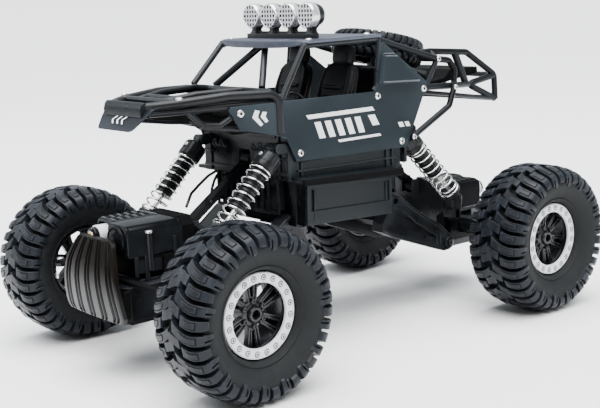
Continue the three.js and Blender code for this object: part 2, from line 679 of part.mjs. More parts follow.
const motorCover = ({ trayZ, motorZ }, topZ) => {
  const arch = (reach, bottom, top, chamfer) => (
    mirrored([[reach, bottom], [reach, top - chamfer], [reach - chamfer, top]], 0));
  const shell = cut(
    prism('yz', arch(22, trayZ + 2.3, topZ + 0.4, 5), [118.4, 156]),
    prism('yz', arch(20.4, trayZ - 4, topZ - 1, 4.4), [110, 160]),
  );
  // a cylinder of the motor's radius on the other side, with a rib up to the shell
  return union(
    shell,
    cylX([-MOTOR_Y, motorZ], MOTOR_R, [118.4, 158], 12),
    box([118.4, 150], [-MOTOR_Y - 1, -MOTOR_Y + 1], [motorZ + 6, topZ]),
  );
};
const motorBody = (centre) => union(
  cylX(centre, MOTOR_R, [119, 157.6], 12),
  cylX(centre, 3, [157, 161], 8),
  cylX(centre, 1, [112.4, 120], 6),
);
const driveGear = (centre, phase) => union(
  gear(GEAR_TEETH, centre, phase),
  cylX(centre, 1.6, [109.6, 113], 8),
  cylX(centre, 3.2, [116.8, 117.9], 8),
);
for (const [end, axle] of Object.entries(AXLES)) {
  const { isFront, motorZ, gearY } = axle;
  const gearZ = motorZ - Math.sqrt(GEAR_CENTRES ** 2 - (gearY - MOTOR_Y) ** 2);
  const motor = [MOTOR_Y, motorZ];
  const drive = [gearY, gearZ];
  const topZ = motorZ + 9.2;
  // the gear's tooth and the pinion's gap share the line of centres
  const phase = Math.atan2(motorZ - gearZ, MOTOR_Y - gearY);
  const pinionPhase = phase + Math.PI + Math.PI / PINION_TEETH;
  const pinion = gear(PINION_TEETH, motor, pinionPhase, [circle(motor, 1.3, 8, 0)]);
  const place = (name, shape, finish) => (
    put(`${end}_${name}`, isFront ? shape : toRear(shape), finish));
  place('axle_housing', axleHousing(axle, motor, drive, topZ), FINISH.glossBlack);
  place('motor_cover', motorCover(axle, topZ), FINISH.coverBlack);
  place('motor', motorBody(motor), FINISH.motor);
  place('drive_gear', driveGear(drive, phase), FINISH.gear);
  place('pinion', pinion, FINISH.pinion);
}

// ---------------------------------------------------------------- front skid plate
const SKID_PROFILE = [ // [x, z]
  [163.4, 84], [167.4, 74.5], [169.2, 63.5], [168.4, 51], [166.2, 39],
  [168.6, 39], [170.8, 51], [171.4, 63.5], [169.6, 75], [165.8, 84.6],
];
const SKID_HALF = [[19, 85], [24, 74], [28.4, 63.5], [31.6, 50], [32.6, 41], [24, 38.4]]; // [y, z]
const skidPlate = () => {
  const face = prism('yz', mirrored(SKID_HALF, 0), [150, 180]);
  const ribProfile = SKID_PROFILE.map(([x, z]) => [x + 0.8, z]);
  const ribs = [-20, -10, 0, 10, 20].map((y) => (
    intersect(prism('xz', ribProfile, [y - 1, y + 1]), face)));
  return union(intersect(prism('xz', SKID_PROFILE, span(40)), face), ...ribs);
};
put('front_skid_plate', skidPlate(), FINISH.grey);

// ---------------------------------------------------------------- steering
const steeringServo = () => union(
  box([119, 147], span(12), [61, 70.8]),
  cylZ([AXLE_X, 0], 1.6, [57.6, 61.5], 6),
);
put('steering_servo', steeringServo(), FINISH.black);

const servoHorn = () => cut(
  union(
    cylZ([AXLE_X, 0], 4.2, [55.8, 60.4]),
    prism('xy', mirrored([[AXLE_X, 3.6], [ROD_X, 2.8]], 1), STEER_Z),
    cylZ([ROD_X, 0], 3.6, STEER_Z, 8),
  ),
  cylZ([AXLE_X, 0], 2, [50, 70], 6),
  cylZ([ROD_X, 0], 2.1, [50, 70], 8),
);
put('servo_horn', servoHorn(), FINISH.horn);

// hub block on the kingpins with a forward steering arm; outlines as [x, y]
const HUB_BLOCK = [
  [119.6, 60.6], [122, 58], [130, 58], [132.4, 60.6], [132.4, 69.6], [119.6, 69.6],
];
const STEERING_ARM = [
  [AXLE_X, 60.4], [152, 60.6], [ROD_X, 60.6], [ROD_X, 67.4], [AXLE_X, 67.6],
];
const leftKnuckle = () => cut(
  union(
    prism('xy', HUB_BLOCK, [39.8, 60.2]),
    prism('xy', STEERING_ARM, STEER_Z),
    cylZ([ROD_X, KING_Y], 3.6, STEER_Z, 8),
  ),
  cylY([AXLE_X, AXLE_Z], 3.5, [50, 75], 8),
  cylZ([AXLE_X, KING_Y], 2.5, [57.1, 70], 6),
  cylZ([AXLE_X, KING_Y], 2.5, [30, 42.9], 6),
  cylZ([ROD_X, KING_Y], 2.1, [50, 70], 8),
);
put('left_knuckle', leftKnuckle(), FINISH.black);
put('right_knuckle', mirrorY(leftKnuckle()), FINISH.black);

const tieRod = () => union(
  box([ROD_X - 2.4, ROD_X + 2.4], span(67), [58.4, 60.4]),
  ...[0, KING_Y, -KING_Y].map((y) => cylZ([ROD_X, y], 1.5, [56, 59], 6)),
);
put('tie_rod', tieRod(), FINISH.tieRod);

// ---------------------------------------------------------------- wheels
// Built about +Z with the outboard side up
const wheelCircle = (radius) => circle([0, 0], radius, WHEEL_SIDES);
const tyre = () => {
  const cornerR = TYRE_R / Math.cos(Math.PI / WHEEL_SIDES);
  // [radius, height]
  const outside = [
    [BEAD_R, 7.6], [BEAD_R, 11.4], [36, TYRE_HALF_WIDTH], [46, 19.4], [cornerR, 10],
  ];
  const inside = [[37, -17.4], [46.4, -9]];
  return lathe([...mirrored(outside, 1), ...mirrored(inside, 1)], WHEEL_SIDES);
};
const rim = () => {
  const opening = [[9.4, -0.2], [20, -0.38], [20, 0.38], [9.4, 0.2]]; // [radius, angle]
  const openings = Array.from({ length: 6 }, (_, i) => (
    opening.map(([radius, angle]) => polar(radius, (Math.PI / 3) * i + angle))));
  return cut(
    union(
      prism('xy', wheelCircle(RIM_R), [-12.4, 11.3], [wheelCircle(21.6)]), // barrel
      prism('xy', wheelCircle(22.4), [3, 6.4], openings),                  // spoked disc
      cylZ([0, 0], 7.4, [-2, 8.4]),                                        // hub
      cylZ([0, 0], 3, [-33.6, 0], 8),                                      // stub axle
    ),
    cylZ([0, 0], 2.2, [4, 12], 8),
  );
};
const ring = () => prism('xy', wheelCircle(RING_R), [11.6, 13.6], [wheelCircle(RING_BORE_R)]);
const wheelParts = [
  ['tyre', tyre(), FINISH.rubber],
  ['rim', rim(), FINISH.glossBlack],
  ['ring', ring(), FINISH.silver],
];
for (const [end, x] of [['front', AXLE_X], ['rear', -AXLE_X]]) {
  for (const side of ['left', 'right']) {
    for (const [name, shape, finish] of wheelParts) {
      // outboard side along +Y
      const onLeft = move(turnX(shape, -Math.PI / 2), x, WHEEL_Y, AXLE_Z);
      put(`${end}_${side}_${name}`, side === 'left' ? onLeft : mirrorY(onLeft), finish);
    }
  }
}

export default car;
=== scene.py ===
# Remote control rock crawler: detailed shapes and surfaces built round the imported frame.
# Lengths are millimetres in the frame's axes: +X forward, +Y left, +Z up, floor at z = 0.
# Meshes are scaled to metres as they are made. In loops, sign is +1 for left or front and
# -1 for right or rear.
import bpy
import bmesh
import math
import random
from math import pi
from mathutils import Matrix, Vector
from mathutils.geometry import tessellate_polygon


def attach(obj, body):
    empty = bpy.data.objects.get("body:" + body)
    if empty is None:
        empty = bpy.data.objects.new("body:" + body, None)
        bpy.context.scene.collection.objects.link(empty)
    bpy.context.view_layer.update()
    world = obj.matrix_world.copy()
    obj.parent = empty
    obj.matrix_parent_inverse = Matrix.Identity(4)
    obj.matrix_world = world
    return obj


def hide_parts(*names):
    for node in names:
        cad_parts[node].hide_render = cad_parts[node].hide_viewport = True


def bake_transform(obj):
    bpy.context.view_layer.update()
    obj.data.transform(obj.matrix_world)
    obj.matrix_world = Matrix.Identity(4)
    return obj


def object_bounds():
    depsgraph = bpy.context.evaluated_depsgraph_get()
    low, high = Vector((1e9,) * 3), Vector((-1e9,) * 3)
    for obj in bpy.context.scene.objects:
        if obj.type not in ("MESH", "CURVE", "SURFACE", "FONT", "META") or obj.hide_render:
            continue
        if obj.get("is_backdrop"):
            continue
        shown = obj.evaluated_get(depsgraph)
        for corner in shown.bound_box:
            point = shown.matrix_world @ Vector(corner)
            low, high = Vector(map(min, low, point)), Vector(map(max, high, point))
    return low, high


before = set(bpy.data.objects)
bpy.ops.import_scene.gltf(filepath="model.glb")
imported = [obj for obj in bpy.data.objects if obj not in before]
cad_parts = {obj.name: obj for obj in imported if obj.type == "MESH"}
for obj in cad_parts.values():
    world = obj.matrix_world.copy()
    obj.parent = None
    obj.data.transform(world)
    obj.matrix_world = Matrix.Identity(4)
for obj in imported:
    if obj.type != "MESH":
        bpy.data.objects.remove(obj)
CAD_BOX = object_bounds()
MM = 0.001
SIDES = (("left", 1), ("right", -1))
ENDS = (("front", 1), ("rear", -1))
WHEEL_X, WHEEL_Y, WHEEL_Z = 126, 93, 50   # wheel centres, before the signs


# ------------------------------------------------------------------ shader helpers
def feed(tree, node, inputs):
    """Links each input that is given as a socket, and sets each that is given as a value."""
    for key, value in inputs.items():
        if isinstance(value, bpy.types.NodeSocket):
            tree.links.new(value, node.inputs[key])
        else:
            node.inputs[key].default_value = value


def add_node(tree, kind, inputs=None, **settings):
    node = tree.nodes.new("ShaderNode" + kind)
    for key, value in settings.items():
        setattr(node, key, value)
    feed(tree, node, inputs or {})
    return node


def map_range(tree, value, source=(0.0, 1.0), target=(0.0, 1.0), interpolation="LINEAR"):
    inputs = {0: value, 1: source[0], 2: source[1], 3: target[0], 4: target[1]}
    return add_node(tree, "MapRange", inputs, interpolation_type=interpolation).outputs[0]


def mix_colour(tree, factor, first, second):
    return add_node(tree, "Mix", {0: factor, 6: first, 7: second}, data_type="RGBA").outputs[2]


def multiply(tree, first, second):
    return add_node(tree, "Math", {0: first, 1: second}, operation="MULTIPLY").outputs[0]


def colour_ramp(tree, factor, positions, low=(0, 0, 0), high=(1, 1, 1)):
    node = add_node(tree, "ValToRGB", {0: factor})
    for element, position, colour in zip(node.color_ramp.elements, positions, (low, high)):
        element.position = position
        element.color = (*colour, 1)
    return node.outputs[0]


def new_material(name):
    """A material holding only an output and a Principled shader."""
    material = bpy.data.materials.new(name)
    material.use_nodes = True
    tree = material.node_tree
    tree.nodes.clear()
    output = add_node(tree, "OutputMaterial")
    shader = add_node(tree, "BsdfPrincipled")
    tree.links.new(shader.outputs[0], output.inputs[0])
    return material, tree, shader


def surface(name, low, high, rough=(0.35, 0.5), metal=0.0, scale=120, bump=0.05,
            bump_scale=900, edge_wear_and_highlight=None, edge_wear_and_highlight_amount=0.35, specular=0.5,
            upward_tint=None, upward_tint_amount=0.0):
    """Coarse noise drives colour (low to high) and roughness, fine noise drives bump.

    Sharp edges take the edge colour, partly edge wear and partly a painted highlight; faces that
    look up take a lighter, bluer tint."""
    material, tree, shader = new_material(name)
    coords = add_node(tree, "TexCoord").outputs["Object"]
    coarse = add_node(tree, "TexNoise", {0: coords, "Scale": scale, "Detail": 6}).outputs[0]
    fine = add_node(tree, "TexNoise", {0: coords, "Scale": bump_scale, "Detail": 3}).outputs[0]
    colour = colour_ramp(tree, coarse, (0.35, 0.68), low, high)
    # Lighter colour on sharp edges: partly edge wear, partly a painted highlight.
    if edge_wear_and_highlight:
        edges = add_node(tree, "NewGeometry").outputs["Pointiness"]
        edge_band = colour_ramp(tree, edges, (0.53, 0.60))
        colour = mix_colour(tree, multiply(tree, edge_band, edge_wear_and_highlight_amount), colour, (*edge_wear_and_highlight, 1))
    # A lighter, bluer colour on faces that look up, stronger the more they face up.
    if upward_tint:
        normal = add_node(tree, "NewGeometry").outputs["Normal"]
        upward = add_node(tree, "SeparateXYZ", {0: normal}).outputs[2]
        upward_share = map_range(tree, upward, source=(0.1, 1.0), target=(0.0, upward_tint_amount))
        colour = mix_colour(tree, multiply(tree, upward_share, coarse), colour, (*upward_tint, 1))
    bumps = None
    roughness = map_range(tree, coarse, source=(0.3, 0.7), target=rough)
    bumps = add_node(tree, "Bump", {"Strength": bump, "Distance": 0.0004, "Height": fine})
    feed(tree, shader, {
        "Base Color": colour, "Roughness": roughness, "Normal": bumps.outputs[0],
        "Metallic": metal, "Specular IOR Level": specular, "Coat Roughness": 0.12})
    return material


def paint_floor_reflection(material, z_low, z_high, colour, specular):
    """Painted reflection of the floor: shifts colour and sheen below z_high, fully changed by
    z_low.
    """
    tree = material.node_tree
    shader = next(node for node in tree.nodes if node.type == "BSDF_PRINCIPLED")
    coords = add_node(tree, "TexCoord").outputs["Object"]
    height = add_node(tree, "SeparateXYZ", {0: coords}).outputs[2]
    amount = map_range(tree, height, source=(z_high * MM, z_low * MM),
                       interpolation="SMOOTHSTEP")
    base = shader.inputs["Base Color"].links[0].from_socket
    colour = mix_colour(tree, amount, base, (*colour, 1))
    sheen = map_range(tree, amount, target=specular)
    feed(tree, shader, {"Base Color": colour, "Specular IOR Level": sheen})


# ------------------------------------------------------------------ materials
# Edge colour for plastics: partly wear, partly a painted highlight on edges.
PLASTIC_EDGE_WEAR_AND_HIGHLIGHT = dict(edge_wear_and_highlight=(0.05, 0.06, 0.07), edge_wear_and_highlight_amount=0.2)
MATERIALS = {
    "black": surface(
        "satin_black_plastic", (0.0032, 0.0037, 0.0046), (0.0062, 0.0071, 0.0086),
        rough=(0.26, 0.38), bump=0.10, bump_scale=1400, specular=0.22, **PLASTIC_EDGE_WEAR_AND_HIGHLIGHT),
    "tub": surface(
        "moulded_tub_plastic", (0.0034, 0.0054, 0.0068), (0.0064, 0.0092, 0.0112),
        rough=(0.28, 0.42), bump=0.12, bump_scale=1200, specular=0.16,
        edge_wear_and_highlight=(0.05, 0.065, 0.075), edge_wear_and_highlight_amount=0.2),
    "gloss": surface(
        "gloss_black_plastic", (0.0020, 0.0023, 0.0027), (0.0040, 0.0045, 0.0052),
        rough=(0.12, 0.22), bump=0.03, bump_scale=500, specular=0.25,
        edge_wear_and_highlight=(0.04, 0.04, 0.045), edge_wear_and_highlight_amount=0.15),
    "panel": surface(
        "powder_coated_panel", (0.0080, 0.0135, 0.0175), (0.0120, 0.0185, 0.0230),
        rough=(0.46, 0.58), scale=60, bump=0.35, bump_scale=2600, specular=0.13,
        edge_wear_and_highlight=(0.16, 0.20, 0.23), edge_wear_and_highlight_amount=0.4),
    "roof": surface(
        "roof_paint", (0.028, 0.032, 0.048), (0.036, 0.041, 0.060),
        rough=(0.36, 0.46), scale=60, bump=0.25, bump_scale=2400, specular=0.25,
        edge_wear_and_highlight=(0.22, 0.25, 0.32), edge_wear_and_highlight_amount=0.4),
    "tyre": surface(
        "tyre_rubber", (0.0017, 0.0020, 0.0027), (0.0040, 0.0047, 0.0060),
        rough=(0.24, 0.40), scale=260, bump=0.35, bump_scale=1500, specular=0.13,
        edge_wear_and_highlight=(0.045, 0.052, 0.066), edge_wear_and_highlight_amount=0.32,
        upward_tint=(0.012, 0.014, 0.020), upward_tint_amount=0.10),
    "sidewall": surface(
        "tyre_sidewall", (0.0095, 0.0105, 0.0112), (0.0135, 0.0150, 0.0160),
        rough=(0.60, 0.75), scale=220, bump=0.30, bump_scale=1800, specular=0.15),
    "silver": surface(
        "silver_plastic", (0.56, 0.57, 0.60), (0.66, 0.67, 0.70),
        rough=(0.28, 0.40), scale=90, bump=0.06, metal=0.35),
    "ring": surface(
        "silver_ring", (0.66, 0.67, 0.69), (0.76, 0.77, 0.79),
        rough=(0.40, 0.52), scale=90, bump_scale=1400, metal=0.15),
    "chrome": surface(
        "chrome_wire", (0.80, 0.79, 0.78), (0.90, 0.89, 0.88),
        rough=(0.08, 0.18), scale=400, bump=0.03, bump_scale=2000, metal=1.0),
    "steel": surface(
        "screw_steel", (0.66, 0.66, 0.66), (0.80, 0.80, 0.80),
        rough=(0.20, 0.32), scale=500, bump_scale=2500, metal=0.9),
    # Darker copy of the satin black plastic with half its sheen, for the rear cage and nose bar:
    # painted shade.
    "cage": surface(
        "cage_plastic", (0.0016, 0.0018, 0.0024), (0.0034, 0.0038, 0.0049),
        rough=(0.26, 0.38), bump=0.10, bump_scale=1400, specular=0.11, **PLASTIC_EDGE_WEAR_AND_HIGHLIGHT),
    "dark": surface(
        "recess_dark", (0.002, 0.002, 0.0024), (0.003, 0.003, 0.0034),
        rough=(0.7, 0.9), specular=0.08),
    # Near-black for groove floors and engraved lines: painted shade.
    "groove": surface(
        "groove_painted_shade", (0.0015, 0.0016, 0.0020), (0.0025, 0.0028, 0.0034),
        rough=(0.6, 0.8), specular=0.1),
    "skid": surface(
        "skid_plate_plastic", (0.0042, 0.0034, 0.0028), (0.0062, 0.0050, 0.0042),
        rough=(0.24, 0.34), scale=80, specular=0.22),
    "brass": surface(
        "brass", (0.70, 0.48, 0.24), (0.84, 0.63, 0.36),
        rough=(0.22, 0.35), scale=500, metal=0.8),
    "label": surface(
        "motor_wrap", (0.66, 0.68, 0.72), (0.74, 0.76, 0.80), scale=90, bump=0.04),
    "decal": surface(
        "white_decal", (0.78, 0.79, 0.79), (0.86, 0.86, 0.86),
        rough=(0.40, 0.55), scale=900, bump=0.08, bump_scale=1500),
    "cable": surface(
        "cable_sleeve", (0.003, 0.003, 0.0035), (0.006, 0.006, 0.0065),
        rough=(0.30, 0.45), bump=0.1),
    "red": surface("red_plastic", (0.45, 0.03, 0.02), (0.55, 0.05, 0.03), rough=(0.3, 0.45)),
    "blue": surface("battery_wrap", (0.02, 0.07, 0.22), (0.03, 0.10, 0.30), rough=(0.2, 0.35)),
    "green": surface(
        "circuit_laminate", (0.01, 0.13, 0.04), (0.02, 0.18, 0.06), rough=(0.3, 0.45)),
    "seat": surface(
        "seat_vinyl", (0.0026, 0.0029, 0.0034), (0.0050, 0.0056, 0.0064),
        rough=(0.40, 0.55), bump=0.35, bump_scale=1800, specular=0.14,
        edge_wear_and_highlight=(0.04, 0.045, 0.05), edge_wear_and_highlight_amount=0.3),
    # Darker, duller copy of the motor cover plastic for the rear cover: painted shade.
    "cover2": surface(
        "rear_cover_plastic", (0.0018, 0.0021, 0.0026), (0.0036, 0.0042, 0.0050),
        rough=(0.30, 0.42), bump=0.04, bump_scale=700, specular=0.03,
        edge_wear_and_highlight=(0.05, 0.055, 0.06), edge_wear_and_highlight_amount=0.3),
    "cover": surface(
        "motor_cover_plastic", (0.0022, 0.0026, 0.0032), (0.0045, 0.0052, 0.0062),
        rough=(0.20, 0.30), bump=0.04, bump_scale=700, specular=0.07,
        edge_wear_and_highlight=(0.06, 0.065, 0.075), edge_wear_and_highlight_amount=0.3),
    "nose": surface(
        "nose_plate_paint", (0.0070, 0.0080, 0.0115), (0.0105, 0.0120, 0.0165),
        rough=(0.40, 0.50), scale=60, bump=0.25, bump_scale=2400, specular=0.12,
        edge_wear_and_highlight=(0.16, 0.18, 0.22), edge_wear_and_highlight_amount=0.4),
    "rim": surface(
        "wheel_plastic", (0.0050, 0.0056, 0.0066), (0.0085, 0.0094, 0.0108),
        rough=(0.22, 0.32), specular=0.4, edge_wear_and_highlight=(0.08, 0.085, 0.10)),
    # Lighter strip colour: the pod's light lines, and a painted highlight along its crease.
    "edge": surface(
        "pod_light_strip", (0.060, 0.068, 0.078), (0.10, 0.112, 0.125),
        rough=(0.30, 0.42), scale=300, bump=0.15, bump_scale=1800, specular=0.4),
    "lamp": surface(
        "lamp_plating", (0.74, 0.74, 0.76), (0.82, 0.82, 0.84),
        rough=(0.20, 0.30), scale=200, bump_scale=1200, metal=0.8),
    "lens": surface(
        "lamp_reflector", (0.16, 0.16, 0.17), (0.26, 0.26, 0.27),
        rough=(0.15, 0.3), scale=700, metal=0.8),
}
# Skid plate: lower part turns lighter and greyer, a painted reflection of the bright floor.
paint_floor_reflection(MATERIALS["skid"], z_low=42, z_high=70, colour=(0.0125, 0.0125, 0.0135),
      specular=(0.04, 0.30))


# ------------------------------------------------------------------ shapes
def move(x, y, z):
    return Matrix.Translation((x, y, z))


def turn(angle, axis):
    return Matrix.Rotation(angle, 4, axis)


FLIP_X = Matrix.Scale(-1, 4, (1, 0, 0))
FLIP_Y = Matrix.Scale(-1, 4, (0, 1, 0))
HALF_TURN = turn(pi, "Z")


class Shape:
    """Vertices in millimetres, faces as vertex indices, and one material slot per face."""

    def __init__(self, verts=(), faces=()):
        self.verts = [tuple(point) for point in verts]
        self.faces = [tuple(face) for face in faces]
        self.slots = [0] * len(self.faces)

    def join(self, *shapes, slot=None):
        for shape in shapes:
            start = len(self.verts)
            self.verts += shape.verts
            self.faces += [tuple(i + start for i in face) for face in shape.faces]
            self.slots += shape.slots if slot is None else [slot] * len(shape.faces)
        return self

    def moved(self, matrix):
        flip = matrix.to_3x3().determinant() < 0
        faces = [face[::-1] for face in self.faces] if flip else self.faces
        shape = Shape([matrix @ Vector(point) for point in self.verts], faces)
        shape.slots = list(self.slots)
        return shape

    def side(self, sign):
        """The shape itself for the left, its mirror image for the right."""
        return self if sign > 0 else self.moved(FLIP_Y)

    def end(self, sign):
        """The shape itself for the front, its mirror image for the rear."""
        return self if sign > 0 else self.moved(FLIP_X)

    def both(self):
        return Shape().join(self, self.side(-1))


PLANES = {
    "xy": lambda a, b, level: (a, b, level),
    "xz": lambda a, b, level: (a, level, b),
    "yz": lambda a, b, level: (level, a, b),
}


def prism(plane, outline, start, end, holes=()):
    """Outline (with holes) in a plane, pushed from start to end along the normal."""
    loops = [[Vector((a, b, 0)) for a, b in loop] for loop in (outline, *holes)]
    flat = [point for loop in loops for point in loop]
    count = len(flat)
    place = PLANES[plane]
    verts = [place(point.x, point.y, level) for level in (start, end) for point in flat]
    faces = []
    if holes:
        for triangle in tessellate_polygon(loops):
            faces.append(tuple(triangle))
            faces.append(tuple(i + count for i in reversed(triangle)))
    else:
        faces.append(range(count))
        faces.append(range(2 * count - 1, count - 1, -1))
    first = 0
    for loop in loops:
        size = len(loop)
        for i in range(size):
            a, b = first + i, first + (i + 1) % size
            faces.append((a, b, b + count, a + count))
        first += size
    return Shape(verts, faces)


def box(x0, x1, y0, y1, z0, z1):
    return prism("xy", [(x0, y0), (x1, y0), (x1, y1), (x0, y1)], z0, z1)


def boxes(*rows):
    return Shape().join(*(box(*row) for row in rows))


def side_box(sign, x0, x1, y0, y1, z0, z1):
    """Box given for the left; sign -1 puts it on the right."""
    if sign < 0:
        y0, y1 = -y1, -y0
    return box(x0, x1, y0, y1, z0, z1)


def circle(centre_a, centre_b, radius, count):
    angles = [2 * pi * i / count for i in range(count)]
    return [(centre_a + radius * math.cos(a), centre_b + radius * math.sin(a)) for a in angles]


def rounded_rect(half_a, half_b, radius):
    """Rounded rectangle about the origin, counter-clockwise, five steps to a corner."""
    points = []
    a, b = half_a - radius, half_b - radius
    for corner_a, corner_b, start in ((a, b, 0), (-a, b, pi / 2), (-a, -b, pi),
                                      (a, -b, 1.5 * pi)):
        for i in range(6):
            angle = start + (pi / 2) * i / 5
            points.append((corner_a + radius * math.cos(angle),
                           corner_b + radius * math.sin(angle)))
    return points


def revolve(profile, count, closed):
    """Turns (radius, height) points about +Z; faces that touch the axis are triangles."""
    size = len(profile)
    verts, faces = [], []
    for i in range(count):
        angle = 2 * pi * i / count
        verts += [(r * math.cos(angle), r * math.sin(angle), z) for r, z in profile]
    for i in range(count):
        here, there = i * size, (i + 1) % count * size
        for j in range(size if closed else size - 1):
            k = (j + 1) % size
            if profile[j][0] < 1e-6:
                faces.append((here + j, there + k, here + k))
            elif profile[k][0] < 1e-6:
                faces.append((here + j, there + j, there + k))
            else:
                faces.append((here + j, there + j, there + k, here + k))
    return Shape(verts, faces)


def lathe(profile, count):
    """Solid of revolution; the profile starts and ends on the axis."""
    return revolve(profile[::-1], count, False)


def hoop(profile, count):
    """Hollow solid of revolution from a closed profile."""
    return revolve(profile, count, True)


def aim(shape, direction, at):
    """Turns a +Z shape to point along a direction, then moves it."""
    rotation = Vector((0, 0, 1)).rotation_difference(Vector(direction).normalized())
    return shape.moved(Matrix.Translation(at) @ rotation.to_matrix().to_4x4())


def along_x(shape, y, z):
    """Lays a +Z shape along +X through (y, z)."""
    return shape.moved(move(0, y, z) @ turn(pi / 2, "Y"))


def rod(start, end, radius, count=16, chamfer=0.0):
    start, end = Vector(start), Vector(end)
    length = (end - start).length
    if chamfer:
        profile = [(0, length), (radius - chamfer, length), (radius, length - chamfer),
                   (radius, chamfer), (radius - chamfer, 0), (0, 0)]
    else:
        profile = [(0, length), (radius, length), (radius, 0), (0, 0)]
    return aim(lathe(profile, count), end - start, start)


def loft(sections, closed=False):
    """Skin over sections with equal point counts, capped unless it closes on itself."""
    size, count = len(sections[0]), len(sections)
    faces = []
    for i in range(count if closed else count - 1):
        here, there = i * size, (i + 1) % count * size
        for j in range(size):
            k = (j + 1) % size
            faces.append((here + j, here + k, there + k, there + j))
    if not closed:
        faces.append(range(size))
        faces.append(range(count * size - 1, (count - 1) * size - 1, -1))
    return Shape([point for section in sections for point in section], faces)


def fillet(points, bend, steps):
    """Rounds the corners of a polyline with curves of about the bend radius."""
    points = [Vector(point) for point in points]
    out = [points[0]]
    for before, corner, after in zip(points, points[1:], points[2:]):
        back, ahead = before - corner, after - corner
        back_length, ahead_length = back.length, ahead.length
        back.normalize()
        ahead.normalize()
        angle = back.angle(ahead)
        if angle > pi - 0.05:
            out.append(corner)
            continue
        cut = min(bend / math.tan(angle / 2), back_length * 0.48, ahead_length * 0.48)
        start, end = corner + back * cut, corner + ahead * cut
        for j in range(steps + 1):
            t = j / steps
            out.append((1 - t) ** 2 * start + 2 * t * (1 - t) * corner + t * t * end)
    out.append(points[-1])
    return out


def tube(points, radius, count, bend=0, steps=5, closed=False):
    """Round tube along a path, its corners bent to about the bend radius."""
    path = [Vector(point) for point in (fillet(points, bend, steps) if bend else points)]
    last = len(path) - 1
    headings = []
    for i in range(last + 1):
        if closed:
            heading = path[(i + 1) % (last + 1)] - path[i - 1]
        elif i == 0:
            heading = path[1] - path[0]
        elif i == last:
            heading = path[-1] - path[-2]
        else:
            heading = (path[i + 1] - path[i]).normalized() + (path[i] - path[i - 1]).normalized()
        headings.append(heading.normalized())
    up = Vector((0, 0, 1)) if abs(headings[0].z) < 0.9 else Vector((1, 0, 0))
    across = up.cross(headings[0]).normalized()
    sections = []
    for i, heading in enumerate(headings):
        if i:
            across = (headings[i - 1].rotation_difference(heading) @ across).normalized()
        rise = heading.cross(across)
        angles = [2 * pi * (j + 0.5) / count for j in range(count)]
        sections.append([path[i] + across * (radius * math.cos(a))
                         + rise * (radius * math.sin(a)) for a in angles])
    return loft(sections, closed)


def interpolate(table, x):
    """Values at x from rows of (x, value, ...) with x rising or falling."""
    for row, following in zip(table, table[1:]):
        a, b = row[0], following[0]
        if min(a, b) <= x <= max(a, b):
            t = (x - a) / (b - a)
            return [u + (v - u) * t for u, v in zip(row[1:], following[1:])]
    return table[-1][1:]


def panhead(radius, height, count=20):
    """Pan head screw along +Z from z = 0. Slots: 0 head, 1 hexagon socket."""
    r, h = radius, height
    head = lathe([(0, h * 0.98), (r * 0.42, h * 0.98), (r * 0.42, h), (r * 0.72, h * 0.93),
                  (r * 0.93, h * 0.62), (r, h * 0.2), (r, -0.2), (0, -0.2)], count)
    socket = prism("xy", circle(0, 0, r * 0.42, 6), h * 0.5, h * 1.02)
    return Shape().join(head).join(socket, slot=1)


# ------------------------------------------------------------------ objects
def make_mesh(name, shape):
    mesh = bpy.data.meshes.new(name)
    verts = [(x * MM, y * MM, z * MM) for x, y, z in shape.verts]
    mesh.from_pydata(verts, [], shape.faces)
    return mesh


def add_object(name, data):
    ob = bpy.data.objects.new(name, data)
    bpy.context.scene.collection.objects.link(ob)
    return ob


def add_bevel(ob, width, segments=2, angle=30):
    bevel = ob.modifiers.new("bevel", "BEVEL")
    bevel.width = width * MM
    bevel.segments = segments
    bevel.limit_method = "ANGLE"
    bevel.angle_limit = math.radians(angle)
    bevel.use_clamp_overlap = True


def piece(name, shape, materials, body="chassis", replaces=None,
          bevel=0.0, segments=2, angle=32, sharp=38, ride=True):
    """Makes an object that rides on a body; edges of sharp degrees or more stay sharp."""
    mesh = make_mesh(name, shape)
    for key in [materials] if isinstance(materials, str) else materials:
        mesh.materials.append(MATERIALS[key])
    mesh.polygons.foreach_set("material_index", shape.slots)
    bm = bmesh.new()
    bm.from_mesh(mesh)
    bmesh.ops.remove_doubles(bm, verts=bm.verts, dist=1e-6)
    bmesh.ops.recalc_face_normals(bm, faces=bm.faces)
    for face in bm.faces:
        face.smooth = True
    for edge in bm.edges:
        joined = len(edge.link_faces) == 2
        edge.smooth = joined and edge.calc_face_angle(0) < math.radians(sharp)
    bm.to_mesh(mesh)
    bm.free()
    ob = add_object(name, mesh)
    if bevel:
        add_bevel(ob, bevel, segments, angle)
    if ride:
        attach(ob, body)
    if replaces:
        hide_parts(replaces)
    return ob


def flat_piece(name, shape, materials):
    """A piece on the chassis with flat shading."""
    ob = piece(name, shape, materials)
    ob.data.polygons.foreach_set("use_smooth", [False] * len(ob.data.polygons))
    return ob


def screws(name, places, radius, height, body="chassis"):
    """Screws at (position, direction) pairs."""
    heads = [aim(panhead(radius, height), direction, at) for at, direction in places]
    piece(name, Shape().join(*heads), ("steel", "dark"), body, sharp=50)


# ------------------------------------------------------------------ tyres
# Half sections of the tyre: station (0 crown, 1 sidewall), radius, distance across.
# Negative stations are on the inboard side.
GROOVE_FLOOR = [
    (0, 45.9, 0), (0.15, 45.8, 5), (0.3, 45.2, 9.8), (0.42, 44.3, 13.6), (0.50, 43.2, 16.4),
    (0.57, 41.9, 18.4), (0.64, 40.4, 19.9), (0.72, 38.6, 20.9), (0.8, 36.4, 20.9),
    (1.0, 31.5, 19.4)]
BLOCK_TOP = [
    (0, 50.0, 0), (0.15, 49.9, 5), (0.3, 49.5, 10.6), (0.42, 48.6, 15.4), (0.50, 47.2, 18.9),
    (0.57, 45.2, 21.3), (0.64, 42.7, 22.3), (0.72, 39.9, 22.4), (0.8, 37.2, 21.9),
    (1.0, 31.5, 20)]
